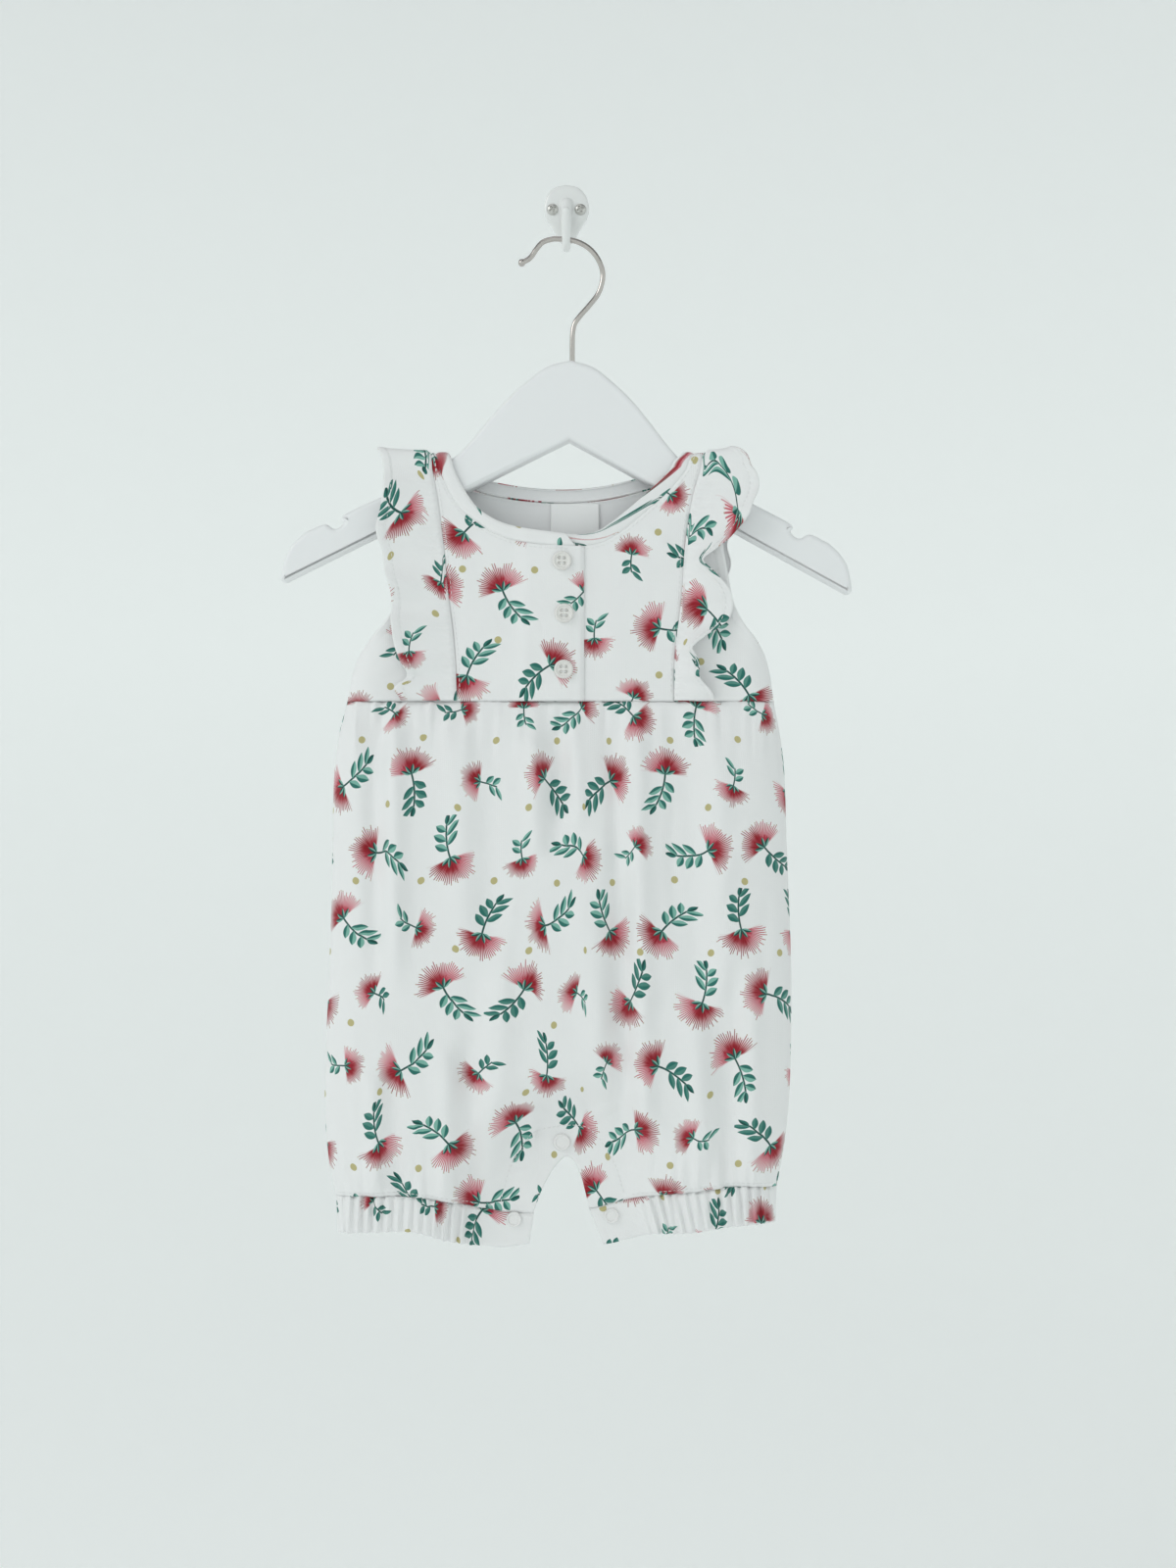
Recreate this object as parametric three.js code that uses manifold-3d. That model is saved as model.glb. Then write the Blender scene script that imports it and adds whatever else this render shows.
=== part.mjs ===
// A sleeveless baby romper on a wooden hanger, hung from a small wall hook. Sizes are in millimetres.
// The wall is the plane y = 0, the front looks along -y, and the origin is the middle of the wall hook's back.
import * as THREE from "three";
import { mergeVertices } from "three/addons/utils/BufferGeometryUtils.js";
import Module from "manifold-3d";

const GAP = 0.3;
const CLOTH = 1.3;
const BAND = 1.6;
const LABEL_CLOTH = 0.6;

// Heights of the garment's seams
const WAIST = -263;
const STRAP_BASE = -140.3;
const STRAP_RISE = 8;
const STRAP_ARC = 13;
const STRAP_TOP = STRAP_BASE + STRAP_ARC;
const STRAP_POWER = 4;

// Depths, as y, of the hanger and of the places where front and back meet
const BOARD = { front: -22, back: -10, middle: -16, edge: 1.5 };
const SIDE_SEAM = -16.5;
const LAP_FRONT = -22;
const LAP_BACK = -19;

// The placket: the wearer's right side laps over the left
const PLACKET = { edge: 9.4, under: -11.7, foldStart: -29, foldEnd: -19, lift: 2.1 };

const FRONT_DEPTH = [
  { z: -127, y: -24.8 },
  { z: -180, y: -25.2 },
  { z: -263, y: -26.5 },
  { z: -272, y: -29 },
  { z: -288, y: -33.5 },
  { z: -315, y: -36.5 },
  { z: -380, y: -38 },
  { z: -460, y: -38 },
  { z: -505, y: -36 },
  { z: -524, y: -34 },
  { z: -560, y: -33 },
];
const BACK_DEPTH = [
  { z: -127, y: -7.2 },
  { z: -180, y: -6.8 },
  { z: -263, y: -6.4 },
  { z: -300, y: -6.2 },
  { z: -420, y: -6 },
  { z: -524, y: -7.5 },
  { z: -560, y: -8 },
];
// How far from the side the cloth turns round towards the side seam
const SIDE_TURN = [
  { z: -127, reach: 16 },
  { z: -263, reach: 18 },
  { z: -300, reach: 38 },
  { z: -500, reach: 42 },
  { z: -560, reach: 34 },
];
const SIDE_POWER = 2.4;

// Outline: armhole edge down to the underarm, then the side seam to the hem
const OUTLINE = [
  { z: -127, left: -75.5, right: 77 },
  { z: -150, left: -79, right: 79 },
  { z: -182, left: -83, right: 82.3 },
  { z: -200, left: -86, right: 85.4 },
  { z: -212.6, left: -89.5, right: 88.2 },
  { z: -222.7, left: -96, right: 93.5 },
  { z: -230, left: -102.5, right: 99.4 },
  { z: -238, left: -108.5, right: 104.3 },
  { z: -248, left: -112.5, right: 107.3 },
  { z: -263, left: -115.4, right: 109.4 },
  { z: -279.5, left: -119.5, right: 112.4 },
  { z: -299, left: -122.1, right: 114.8 },
  { z: -343, left: -123.1, right: 116.3 },
  { z: -409, left: -124.9, right: 118.6 },
  { z: -453, left: -126.9, right: 118.3 },
  { z: -480, left: -126.9, right: 117.1 },
  { z: -502, left: -125.3, right: 114.8 },
  { z: -518, left: -122.6, right: 112 },
  { z: -526, left: -121, right: 110.6 },
  { z: -548, left: -120.5, right: 110.6 },
];
const MIDDLE = -3;
const UNDERARM = { open: -222, closed: -244 };

// The seam that holds the ruffle, from shoulder to waist
const RUFFLE_SEAM = [
  { z: -127, left: -71.6, right: 73.5 },
  { z: -141, left: -70, right: 70.5 },
  { z: -157, left: -67.3, right: 66 },
  { z: -181, left: -64, right: 62.3 },
  { z: -207, left: -61.5, right: 60.5 },
  { z: -238, left: -58, right: 57 },
  { z: -263, left: -57, right: 56.5 },
];

// Neckline rows from the placket to the shoulder: the free edge, the seam, and the height of the row at the ruffle
const NECK_LEFT = [
  { edgeX: -0.3, edgeZ: -175.4, seamX: 5, seamZ: -182, rowZ: -182 },
  { edgeX: -9, edgeZ: -174.3, seamX: -9, seamZ: -181.5, rowZ: -178.5 },
  { edgeX: -22, edgeZ: -172.4, seamX: -25, seamZ: -179.4, rowZ: -174.5 },
  { edgeX: -33.2, edgeZ: -169.4, seamX: -37, seamZ: -175.4, rowZ: -170 },
  { edgeX: -41.5, edgeZ: -165.2, seamX: -46.4, seamZ: -169.6, rowZ: -165 },
  { edgeX: -47.5, edgeZ: -160.3, seamX: -52.8, seamZ: -164.6, rowZ: -160 },
  { edgeX: -52.6, edgeZ: -153, seamX: -59.2, seamZ: -156.6, rowZ: -154 },
  { edgeX: -57.2, edgeZ: -144.6, seamX: -63.9, seamZ: -147.4, rowZ: -146.5 },
  { edgeX: -59.7, edgeZ: -138.6, seamX: -66.4, seamZ: -140.5, rowZ: -140.5 },
  { edgeX: -61, edgeZ: -133.6, seamX: -68, seamZ: -134.6, rowZ: -134.6 },
  { edgeX: -61.2, edgeZ: STRAP_TOP, seamX: -68.4, seamZ: STRAP_TOP, rowZ: STRAP_TOP },
];
const NECK_RIGHT = [
  { edgeX: -8, edgeZ: -174.9, seamX: -8, seamZ: -182.5, rowZ: -182 },
  { edgeX: 0, edgeZ: -175.4, seamX: 0, seamZ: -182.1, rowZ: -180.4 },
  { edgeX: 9.5, edgeZ: -175.6, seamX: 12, seamZ: -181.5, rowZ: -178.5 },
  { edgeX: 17, edgeZ: -173.6, seamX: 20.6, seamZ: -179.2, rowZ: -175.5 },
  { edgeX: 23.8, edgeZ: -169.2, seamX: 28, seamZ: -174.8, rowZ: -171 },
  { edgeX: 30.6, edgeZ: -163.9, seamX: 35.2, seamZ: -169.3, rowZ: -166 },
  { edgeX: 38.7, edgeZ: -157, seamX: 43.4, seamZ: -162.3, rowZ: -160 },
  { edgeX: 46.8, edgeZ: -149.8, seamX: 51.8, seamZ: -154.9, rowZ: -153.5 },
  { edgeX: 53, edgeZ: -143, seamX: 58.9, seamZ: -147, rowZ: -146.5 },
  { edgeX: 57.6, edgeZ: -137.5, seamX: 63.6, seamZ: -140.5, rowZ: -140.5 },
  { edgeX: 60.2, edgeZ: -133.6, seamX: 66.3, seamZ: -134.6, rowZ: -134.6 },
  { edgeX: 60.6, edgeZ: STRAP_TOP, seamX: 67.2, seamZ: STRAP_TOP, rowZ: STRAP_TOP },
];
const NECK_BACK = [
  { edgeX: 60.6, edgeZ: STRAP_TOP, seamX: 67.2, seamZ: STRAP_TOP, rowZ: STRAP_TOP },
  { edgeX: 59.8, edgeZ: -134.4, seamX: 66.2, seamZ: -136, rowZ: -136 },
  { edgeX: 56, edgeZ: -138, seamX: 61.5, seamZ: -142, rowZ: -142.5 },
  { edgeX: 48, edgeZ: -141, seamX: 52.5, seamZ: -147.2, rowZ: -151 },
  { edgeX: 36, edgeZ: -144.2, seamX: 39, seamZ: -151.3, rowZ: -160 },
  { edgeX: 19, edgeZ: -147.9, seamX: 20, seamZ: -155.4, rowZ: -170 },
  { edgeX: 0, edgeZ: -149.6, seamX: 0, seamZ: -157, rowZ: -178 },
  { edgeX: -20, edgeZ: -148.6, seamX: -21, seamZ: -156, rowZ: -170 },
  { edgeX: -38, edgeZ: -145.6, seamX: -41, seamZ: -152.7, rowZ: -160 },
  { edgeX: -50, edgeZ: -142, seamX: -54.5, seamZ: -148, rowZ: -151 },
  { edgeX: -57, edgeZ: -138.5, seamX: -62.5, seamZ: -142.6, rowZ: -142.5 },
  { edgeX: -60.6, edgeZ: -134.4, seamX: -67.2, seamZ: -136, rowZ: -136 },
  { edgeX: -61.2, edgeZ: STRAP_TOP, seamX: -68.4, seamZ: STRAP_TOP, rowZ: STRAP_TOP },
];

// Free edge of each ruffle from waist to shoulder, with how far it stands off the panel below
const RUFFLE_LEFT = [
  { z: -263, edge: -86, lift: 2.2 },
  { z: -256, edge: -88.5, lift: 7 },
  { z: -250, edge: -83, lift: 3 },
  { z: -243, edge: -85.5, lift: 8.5 },
  { z: -235, edge: -89, lift: 5 },
  { z: -222.7, edge: -90.6, lift: 9.5 },
  { z: -212, edge: -91, lift: 4.5 },
  { z: -200, edge: -92.5, lift: 9 },
  { z: -188, edge: -95.5, lift: 4 },
  { z: -173, edge: -98.3, lift: 9.5 },
  { z: -162, edge: -96.5, lift: 5 },
  { z: -150, edge: -94.7, lift: 8 },
  { z: -142, edge: -95.2, lift: 4 },
  { z: -134, edge: -98.3, lift: 3.2 },
  { z: STRAP_TOP, edge: -99, lift: 2.4 },
];
const RUFFLE_RIGHT = [
  { z: -263, edge: 77.5, lift: 2.2 },
  { z: -256, edge: 74, lift: 7 },
  { z: -249.2, edge: 68.4, lift: 10 },
  { z: -241, edge: 69, lift: 6 },
  { z: -235, edge: 65.6, lift: 10 },
  { z: -228.8, edge: 72.1, lift: 8 },
  { z: -222, edge: 83.5, lift: 4 },
  { z: -213, edge: 87, lift: 5 },
  { z: -205, edge: 84.5, lift: 9 },
  { z: -197, edge: 77, lift: 11 },
  { z: -190, edge: 71.2, lift: 12 },
  { z: -183, edge: 78.5, lift: 10 },
  { z: -173, edge: 90.5, lift: 7 },
  { z: -162, edge: 96.5, lift: 8.5 },
  { z: -151, edge: 100.6, lift: 4.5 },
  { z: -143, edge: 98.5, lift: 6 },
  { z: -134, edge: 89.5, lift: 4 },
  { z: STRAP_TOP, edge: 88, lift: 2.6 },
];
const RUFFLE_BACK = { waist: 26, shoulder: 24, waves: 6, edgeSwing: 1.5, swing: 1.1, stand: 1.9, nearTop: 0.82 };
const RUFFLE = { perFace: 28, columns: 3, seat: 0.1, power: 1.2 };

// Seams and edges of the lower part, left to right
const CUFF_SEAM = [
  { x: -122, z: -521.6 },
  { x: -100, z: -520.2 },
  { x: -78.4, z: -520.5 },
  { x: -63.1, z: -522.6 },
  { x: -48.1, z: -526.8 },
  { x: -31.8, z: -530.4 },
  { x: -16.8, z: -531 },
  { x: 12, z: -528.9 },
  { x: 28, z: -525 },
  { x: 41.2, z: -521.6 },
  { x: 63.9, z: -517.8 },
  { x: 88.8, z: -515 },
  { x: 112, z: -516.6 },
];
const HEM = [
  { x: -122, z: -541 },
  { x: -100, z: -539.2 },
  { x: -80.5, z: -538.6 },
  { x: -54.5, z: -546 },
  { x: -39.4, z: -548.8 },
  { x: -31.8, z: -549.2 },
  { x: -19.3, z: -547.4 },
  { x: 19.6, z: -547.8 },
  { x: 41.2, z: -542.6 },
  { x: 67.2, z: -539 },
  { x: 86.6, z: -536 },
  { x: 112, z: -535.6 },
];
const CROTCH = [
  { x: -19.3, z: -547.4 },
  { x: -16.8, z: -531 },
  { x: -14.4, z: -523 },
  { x: -9, z: -512 },
  { x: -3.7, z: -504.5 },
  { x: 0.8, z: -501.4 },
  { x: 5.5, z: -506.5 },
  { x: 8.8, z: -515 },
  { x: 12, z: -528.9 },
  { x: 15.2, z: -538.5 },
  { x: 19.6, z: -547.8 },
];
const LAP = { flat: 17, fade: 52, foldShare: 0.7 };
const LOW_END = -525;

// Folds of the front and back: a ridge of the given width and rise that wanders from its top to its low end,
// with a trough of the given depth beside it
const FRONT_FOLDS = [
  { topX: -89, topZ: -270, lowX: -88, lowZ: -410, width: 6, rise: 4.6, trough: -5, side: -1 },
  { topX: 36, topZ: -272, lowX: 41, lowZ: -512, width: 6.5, rise: 4.8, trough: -5, side: -1 },
  { topX: -17, topZ: -280, lowX: -15, lowZ: -345, width: 6, rise: 3.2, trough: -2.5, side: 1 },
  { topX: 4.5, topZ: -268, lowX: 7, lowZ: -330, width: 5.5, rise: 3, trough: -3, side: -1 },
  { topX: -57, topZ: -275, lowX: -52, lowZ: -400, width: 9, rise: 2.6, trough: -2, side: 1 },
  { topX: 77, topZ: -275, lowX: 84, lowZ: -430, width: 9, rise: 2.8, trough: -2.4, side: -1 },
  { topX: -100, topZ: -455, lowX: -98, lowZ: -524, width: 6, rise: 3.2, trough: -3, side: 1 },
  { topX: -62, topZ: -440, lowX: -60, lowZ: -524, width: 6, rise: 3, trough: -2.5, side: 1 },
  { topX: -33, topZ: -400, lowX: -38, lowZ: -526, width: 8, rise: 2.6, trough: -2, side: -1 },
  { topX: 66, topZ: -420, lowX: 72, lowZ: -520, width: 7, rise: 3, trough: -2.6, side: 1 },
  { topX: 97, topZ: -400, lowX: 96, lowZ: -518, width: 6, rise: 3, trough: -3, side: -1 },
  { topX: 12, topZ: -360, lowX: 18, lowZ: -470, width: 9, rise: 2, trough: -1.8, side: 1 },
];
const BACK_FOLDS = [
  { topX: -84, topZ: -270, lowX: -90, lowZ: -430, width: 8, rise: 1.7, trough: -4.5, side: 1 },
  { topX: -38, topZ: -268, lowX: -34, lowZ: -470, width: 8, rise: 1.6, trough: -4, side: -1 },
  { topX: 10, topZ: -270, lowX: 6, lowZ: -400, width: 8, rise: 1.5, trough: -3.5, side: 1 },
  { topX: 52, topZ: -268, lowX: 60, lowZ: -480, width: 8, rise: 1.7, trough: -4.5, side: -1 },
  { topX: 88, topZ: -290, lowX: 92, lowZ: -515, width: 7, rise: 1.6, trough: -4, side: 1 },
  { topX: -66, topZ: -420, lowX: -70, lowZ: -520, width: 7, rise: 1.6, trough: -4, side: -1 },
];
// Gathers along the waist seam
const FRONT_GATHERS = [-110, -100.8, -88, -75, -61.9, -51.7, -42, -33, -24.9, -16.3, -6.5, 2.9, 12.5, 24.2, 32, 39.3,
  49.5, 62.1, 77.3, 85, 93, 102];
const BACK_GATHERS = [-106, -94, -83, -70, -60, -46, -37, -24, -12, 1, 12, 25, 34, 48, 57, 70, 80, 92, 102];
const GATHER = { width: 3.4, rise: 1.5, atSeam: 0.35, grow: 9, hold: 10, fade: 42, base: 0.45 };
// How a fold comes and goes along its length, where its trough lies in widths, and the deepest that cloth moves in
const FOLD = { start: -0.08, full: 0.12, fade: 0.8, end: 1.08, beside: 1.7, deepest: -7 };
// Distances from the side seam between which the folds begin
const SIDE_CALM = { from: 2, to: 12 };

// Elastic cuffs: fine gathers on the outer side of each leg, none near the inner leg
const CUFF = { pitch: 5, rise: 1.1, bulge: 0.9, outerShare: 0.76, fadeShare: 0.9, flatStep: 9, sideZ: -530 };
const CUFF_EDGE = { first: 1.2, calm: 1, full: 5 };

const BUTTON = { radius: 5.1, thick: 2.4, holeRadius: 0.75, holeOffset: 1.35 };
const BUTTONS = [
  { x: -2.1, z: -189.8 },
  { x: -0.9, z: -217.1 },
  { x: -1.2, z: -246.4 },
];
const SNAPS = [
  { name: "snap_crotch", x: -2.2, z: -493.8, radius: 4.45 },
  { name: "snap_leg_right", x: 23.8, z: -532.4, radius: 4 },
  { name: "snap_leg_left", x: -27.3, z: -534.2, radius: 4 },
];
const SNAP_THICK = 1.7;
const SEAT = GAP + 0.12;
const LABEL = { left: -8.2, right: 17.5, top: -157.4, bottom: -187 };

// Hanger
const HANGER = { x: 2.5, top: -83.7, tilt: THREE.MathUtils.degToRad(1.2) };
const BOARD_CREST = [
  { x: 0, z: 0 },
  { x: 11.5, z: -3.2 },
  { x: 21.6, z: -10.4 },
  { x: 32.1, z: -19.9 },
  { x: 42.7, z: -32.2 },
  { x: 51.4, z: -43.1 },
  { x: 59.8, z: -51.7 },
  { x: 72, z: -59.2 },
];
const BOARD_ARM = [
  { x: 98, z: -73.7 },
  { x: 117, z: -83.5 },
  { x: 117.4, z: -87.6 },
  { x: 119.6, z: -90.2 },
  { x: 122.8, z: -90.9 },
  { x: 127.4, z: -88.8 },
  { x: 135, z: -92 },
  { x: 139, z: -94.5 },
  { x: 144.5, z: -100 },
  { x: 148, z: -106.4 },
  { x: 150, z: -116.4 },
  { x: 149.6, z: -118.9 },
  { x: 147.5, z: -119.5 },
];
const BOARD_APEX = { x: 0, z: -42.2 };
const WIRE = { radius: 1.4, endRadius: 2, hole: 1.75, depth: 9, steps: 40, sides: 8 };
const WIRE_PATH = [
  { x: -23.4, z: -31.4 },
  { x: -19, z: -28.8 },
  { x: -15.7, z: -24.2 },
  { x: -12.4, z: -20.6 },
  { x: -7.7, z: -19 },
  { x: -4.4, z: -18.8 },
  { x: 2.4, z: -19.4 },
  { x: 7.8, z: -21.1 },
  { x: 13.1, z: -24.7 },
  { x: 17.1, z: -30.1 },
  { x: 19.2, z: -36.2 },
  { x: 18.8, z: -42.2 },
  { x: 16.5, z: -48.3 },
  { x: 11.8, z: -54.3 },
  { x: 7.1, z: -59.7 },
  { x: 4.4, z: -63.7 },
  { x: 3.4, z: -68.8 },
  { x: 3.2, z: -76 },
];

// Wall hook
const PLATE = { thick: 4, edge: 1.2 };
const PLATE_HALF = [
  { x: 0, z: 14 },
  { x: 6, z: 12.7 },
  { x: 10.4, z: 8.2 },
  { x: 12.2, z: 1.6 },
  { x: 11, z: -4 },
  { x: 7.8, z: -9 },
  { x: 5.6, z: -13.4 },
  { x: 3, z: -17 },
  { x: 0, z: -18 },
];
const PRONG = [
  { y: -2.5, z: 4, radius: 3.4 },
  { y: -6.2, z: -3, radius: 3.1 },
  { y: -9.4, z: -10.8, radius: 2.7 },
  { y: -11.4, z: -16.6, radius: 2.5 },
  { y: -12.4, z: -20.9, radius: 2.4 },
  { y: -16, z: -23.4, radius: 2.4 },
  { y: -19.6, z: -21, radius: 2.3 },
  { y: -21.2, z: -16.4, radius: 2.2 },
  { y: -23.4, z: -10.8, radius: 2.2 },
  { y: -25.2, z: -6.4, radius: 1.5 },
];
const PRONG_SIDES = 10;
const SCREWS = [
  { name: "screw_left", x: -7.4, z: 0.4 },
  { name: "screw_right", x: 7.4, z: 0.4 },
];
const SCREW = { radius: 3.1, thick: 1.6, slot: 0.7, slotDepth: 0.7 };

const PAINTED_WOOD = new THREE.MeshStandardMaterial({ color: 0xf2f3f3, roughness: 0.45, metalness: 0 });
const CHROME = new THREE.MeshStandardMaterial({ color: 0xb8babc, roughness: 0.15, metalness: 1 });
const ENAMEL = new THREE.MeshStandardMaterial({ color: 0xf0f1f0, roughness: 0.3, metalness: 0 });
const JERSEY = new THREE.MeshStandardMaterial({ color: 0xf4f3f2, roughness: 0.9, metalness: 0 });
const PLASTIC = new THREE.MeshStandardMaterial({ color: 0xefedea, roughness: 0.3, metalness: 0 });

const romper = new THREE.Group();
const wasm = await Module();
wasm.setup();

function faceSign(face) {
  return face === "front" ? -1 : 1;
}

function smooth(at, from, to) {
  const t = THREE.MathUtils.clamp((at - from) / (to - from), 0, 1);
  return t * t * (3 - 2 * t);
}

// Value of one column of a table at a place along another, on a smooth curve through the rows
function lookup(table, key, at, column) {
  const last = table.length - 1;
  const way = Math.sign(table[last][key] - table[0][key]);
  let i = 0;
  while (i < last - 1 && way * (at - table[i + 1][key]) > 0) i += 1;
  const slope = (a, b) => (table[b][column] - table[a][column]) / (table[b][key] - table[a][key]);
  const span = table[i + 1][key] - table[i][key];
  const t = THREE.MathUtils.clamp((at - table[i][key]) / span, 0, 1);
  const start = slope(Math.max(i - 1, 0), i + 1) * span;
  const end = slope(i, Math.min(i + 2, last)) * span;
  const a = table[i][column];
  const b = table[i + 1][column];
  const cubic = 2 * (a - b) + start + end;
  const square = 3 * (b - a) - 2 * start - end;
  return ((cubic * t + square) * t + start) * t + a;
}

function solidFrom(geometry) {
  const bare = geometry.index ? geometry.toNonIndexed() : geometry.clone();
  for (const name of Object.keys(bare.attributes)) {
    if (name !== "position") bare.deleteAttribute(name);
  }
  const merged = mergeVertices(bare, 1e-3);
  return new wasm.Manifold(new wasm.Mesh({
    numProp: 3,
    vertProperties: merged.attributes.position.array,
    triVerts: merged.index.array,
  }));
}

function geometryFrom(solid) {
  const mesh = solid.getMesh();
  const geometry = new THREE.BufferGeometry();
  geometry.setAttribute("position", new THREE.BufferAttribute(mesh.vertProperties, 3));
  geometry.setIndex(new THREE.BufferAttribute(mesh.triVerts, 1));
  return geometry;
}

function addPiece(name, geometry, material) {
  const mesh = new THREE.Mesh(geometry, material.clone());
  mesh.name = name;
  romper.add(mesh);
  return mesh;
}

// A wall of cloth between a grid of outer points and the same grid moved in by its thickness. The first rows
// lie on the named face. A point may know its own way out, and so may an edge that ends square at a seam.
function clothWall(grid, wall, face, edges = {}) {
  const rows = grid.length;
  const columns = grid[0].length;
  const at = (i, j) => grid[THREE.MathUtils.clamp(i, 0, rows - 1)][THREE.MathUtils.clamp(j, 0, columns - 1)];
  const normal = (i, j) => {
    const across = at(i, j + 1).clone().sub(at(i, j - 1));
    const along = at(i + 1, j).clone().sub(at(i - 1, j));
    return across.cross(along).normalize();
  };
  const flip = Math.sign(normal(1, Math.floor(columns / 2)).y) === faceSign(face) ? 1 : -1;
  const outward = (i, j) => {
    if (i === 0 && edges.first) return edges.first;
    if (i === rows - 1 && edges.last) return edges.last;
    if (j === 0 && edges.start) return edges.start;
    if (j === columns - 1 && edges.end) return edges.end;
    return grid[i][j].out ?? normal(i, j).multiplyScalar(flip);
  };
  const places = [];
  for (let i = 0; i < rows; i += 1) {
    for (let j = 0; j < columns; j += 1) {
      const outer = grid[i][j];
      const inner = outer.clone().addScaledVector(outward(i, j), -wall);
      places.push([outer, inner]);
    }
  }
  const positions = places.flatMap(([outer]) => [outer.x, outer.y, outer.z])
    .concat(places.flatMap(([, inner]) => [inner.x, inner.y, inner.z]));
  const index = [];
  const under = rows * columns;
  const quad = (a, b, c, d) => index.push(a, b, c, a, c, d);
  for (let i = 0; i < rows - 1; i += 1) {
    for (let j = 0; j < columns - 1; j += 1) {
      const a = i * columns + j;
      quad(a, a + 1, a + columns + 1, a + columns);
      quad(under + a, under + a + columns, under + a + columns + 1, under + a + 1);
    }
  }
  const rim = [];
  for (let j = 0; j < columns; j += 1) rim.push(j);
  for (let i = 1; i < rows; i += 1) rim.push(i * columns + columns - 1);
  for (let j = columns - 2; j >= 0; j -= 1) rim.push((rows - 1) * columns + j);
  for (let i = rows - 2; i >= 1; i -= 1) rim.push(i * columns);
  rim.forEach((a, k) => {
    const b = rim[(k + 1) % rim.length];
    quad(b, a, under + a, under + b);
  });
  if (flip < 0) index.reverse();
  const geometry = new THREE.BufferGeometry();
  geometry.setAttribute("position", new THREE.Float32BufferAttribute(positions, 3));
  geometry.setIndex(index);
  return geometry;
}

function outlineAt(z, x) {
  return lookup(OUTLINE, "z", z, x < MIDDLE ? "left" : "right");
}

function distanceToCrotch(x, z) {
  let least = Infinity;
  const place = new THREE.Vector3(x, 0, z);
  const nearest = new THREE.Vector3();
  for (let i = 0; i < CROTCH.length - 1; i += 1) {
    const from = new THREE.Vector3(CROTCH[i].x, 0, CROTCH[i].z);
    const to = new THREE.Vector3(CROTCH[i + 1].x, 0, CROTCH[i + 1].z);
    new THREE.Line3(from, to).closestPointToPoint(place, true, nearest);
    least = Math.min(least, nearest.distanceTo(place));
  }
  return least;
}

// How far the outer face lies from the wall, as y, with no folds
function depthAt(x, z, face) {
  const flat = lookup(face === "front" ? FRONT_DEPTH : BACK_DEPTH, "z", z, "y");
  const inFromSide = Math.max(0, Math.abs(outlineAt(z, x) - MIDDLE) - Math.abs(x - MIDDLE));
  const reach = lookup(SIDE_TURN, "z", z, "reach");
  const away = 1 - Math.min(1, inFromSide / reach);
  const round = (1 - away ** SIDE_POWER) ** (1 / SIDE_POWER);
  const closed = smooth(z, UNDERARM.open, UNDERARM.closed);
  const open = flat + (SIDE_SEAM - flat) * closed * (1 - round);
  const lap = 1 - smooth(distanceToCrotch(x, z), LAP.flat, LAP.fade);
  return open + ((face === "front" ? LAP_FRONT : LAP_BACK) - open) * lap;
}

// A place on the bodice. Above the strap's base, height runs on over the shoulder to its top.
function bodicePoint(x, height, face, lift = 0) {
  const sign = faceSign(face);
  if (height <= STRAP_BASE) return new THREE.Vector3(x, depthAt(x, height, face) + sign * lift, height);
  const turn = ((height - STRAP_BASE) / STRAP_ARC) * Math.PI / 2;
  const bend = 2 / STRAP_POWER;
  const half = Math.abs(depthAt(0, STRAP_BASE, face) - BOARD.middle) + lift;
  const out = half * Math.max(0, Math.cos(turn)) ** bend;
  const up = (STRAP_RISE + lift) * Math.sin(turn) ** bend;
  return new THREE.Vector3(x, BOARD.middle + sign * out, STRAP_BASE + up);
}

// A place on the bodice that knows the way out of the garment there
function bodicePlace(x, height, face, lift = 0) {
  const step = 0.4;
  const place = bodicePoint(x, height, face, lift);
  const across = bodicePoint(x + step, height, face).sub(bodicePoint(x - step, height, face));
  const along = bodicePoint(x, height + step, face).sub(bodicePoint(x, height - step, face));
  place.out = across.cross(along).normalize().multiplyScalar(face === "front" ? 1 : -1);
  return place;
}

const UP = new THREE.Vector3(0, 0, 1);
const LEFT = new THREE.Vector3(-1, 0, 0);
const RIGHT = new THREE.Vector3(1, 0, 0);
const HALF_GAP = GAP / 2;

// The seam between neckband and panels, moved to one side of itself by half a gap
function neckPoint(rows, i, side) {
  const before = rows[Math.max(i - 1, 0)];
  const after = rows[Math.min(i + 1, rows.length - 1)];
  const along = new THREE.Vector2(after.seamX - before.seamX, after.seamZ - before.seamZ).normalize();
  const away = new THREE.Vector2(rows[i].edgeX - rows[i].seamX, rows[i].edgeZ - rows[i].seamZ);
  const normal = new THREE.Vector2(-along.y, along.x);
  if (normal.dot(away) < 0) normal.negate();
  return new THREE.Vector2(rows[i].seamX, rows[i].seamZ).addScaledVector(normal, side * HALF_GAP);
}

function placketLift(x) {
  return PLACKET.lift * smooth(x, PLACKET.foldStart, PLACKET.foldEnd);
}

const SIDE_COLUMNS = [0, 0.3, 0.55, 0.75, 0.88, 0.96, 1];
const SIDE_ROWS = [WAIST + HALF_GAP, -252, -243, -234, -226, -214, -198, -178, -158, -141, -136, -132,
  STRAP_TOP - HALF_GAP];
const BODICE_ROWS = [WAIST + HALF_GAP, -248, -232, -216, -202, -191];
const CENTRE_COLUMNS = [0, 0.16, 0.31, 0.43, 0.57, 0.71, 0.86, 1];

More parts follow.
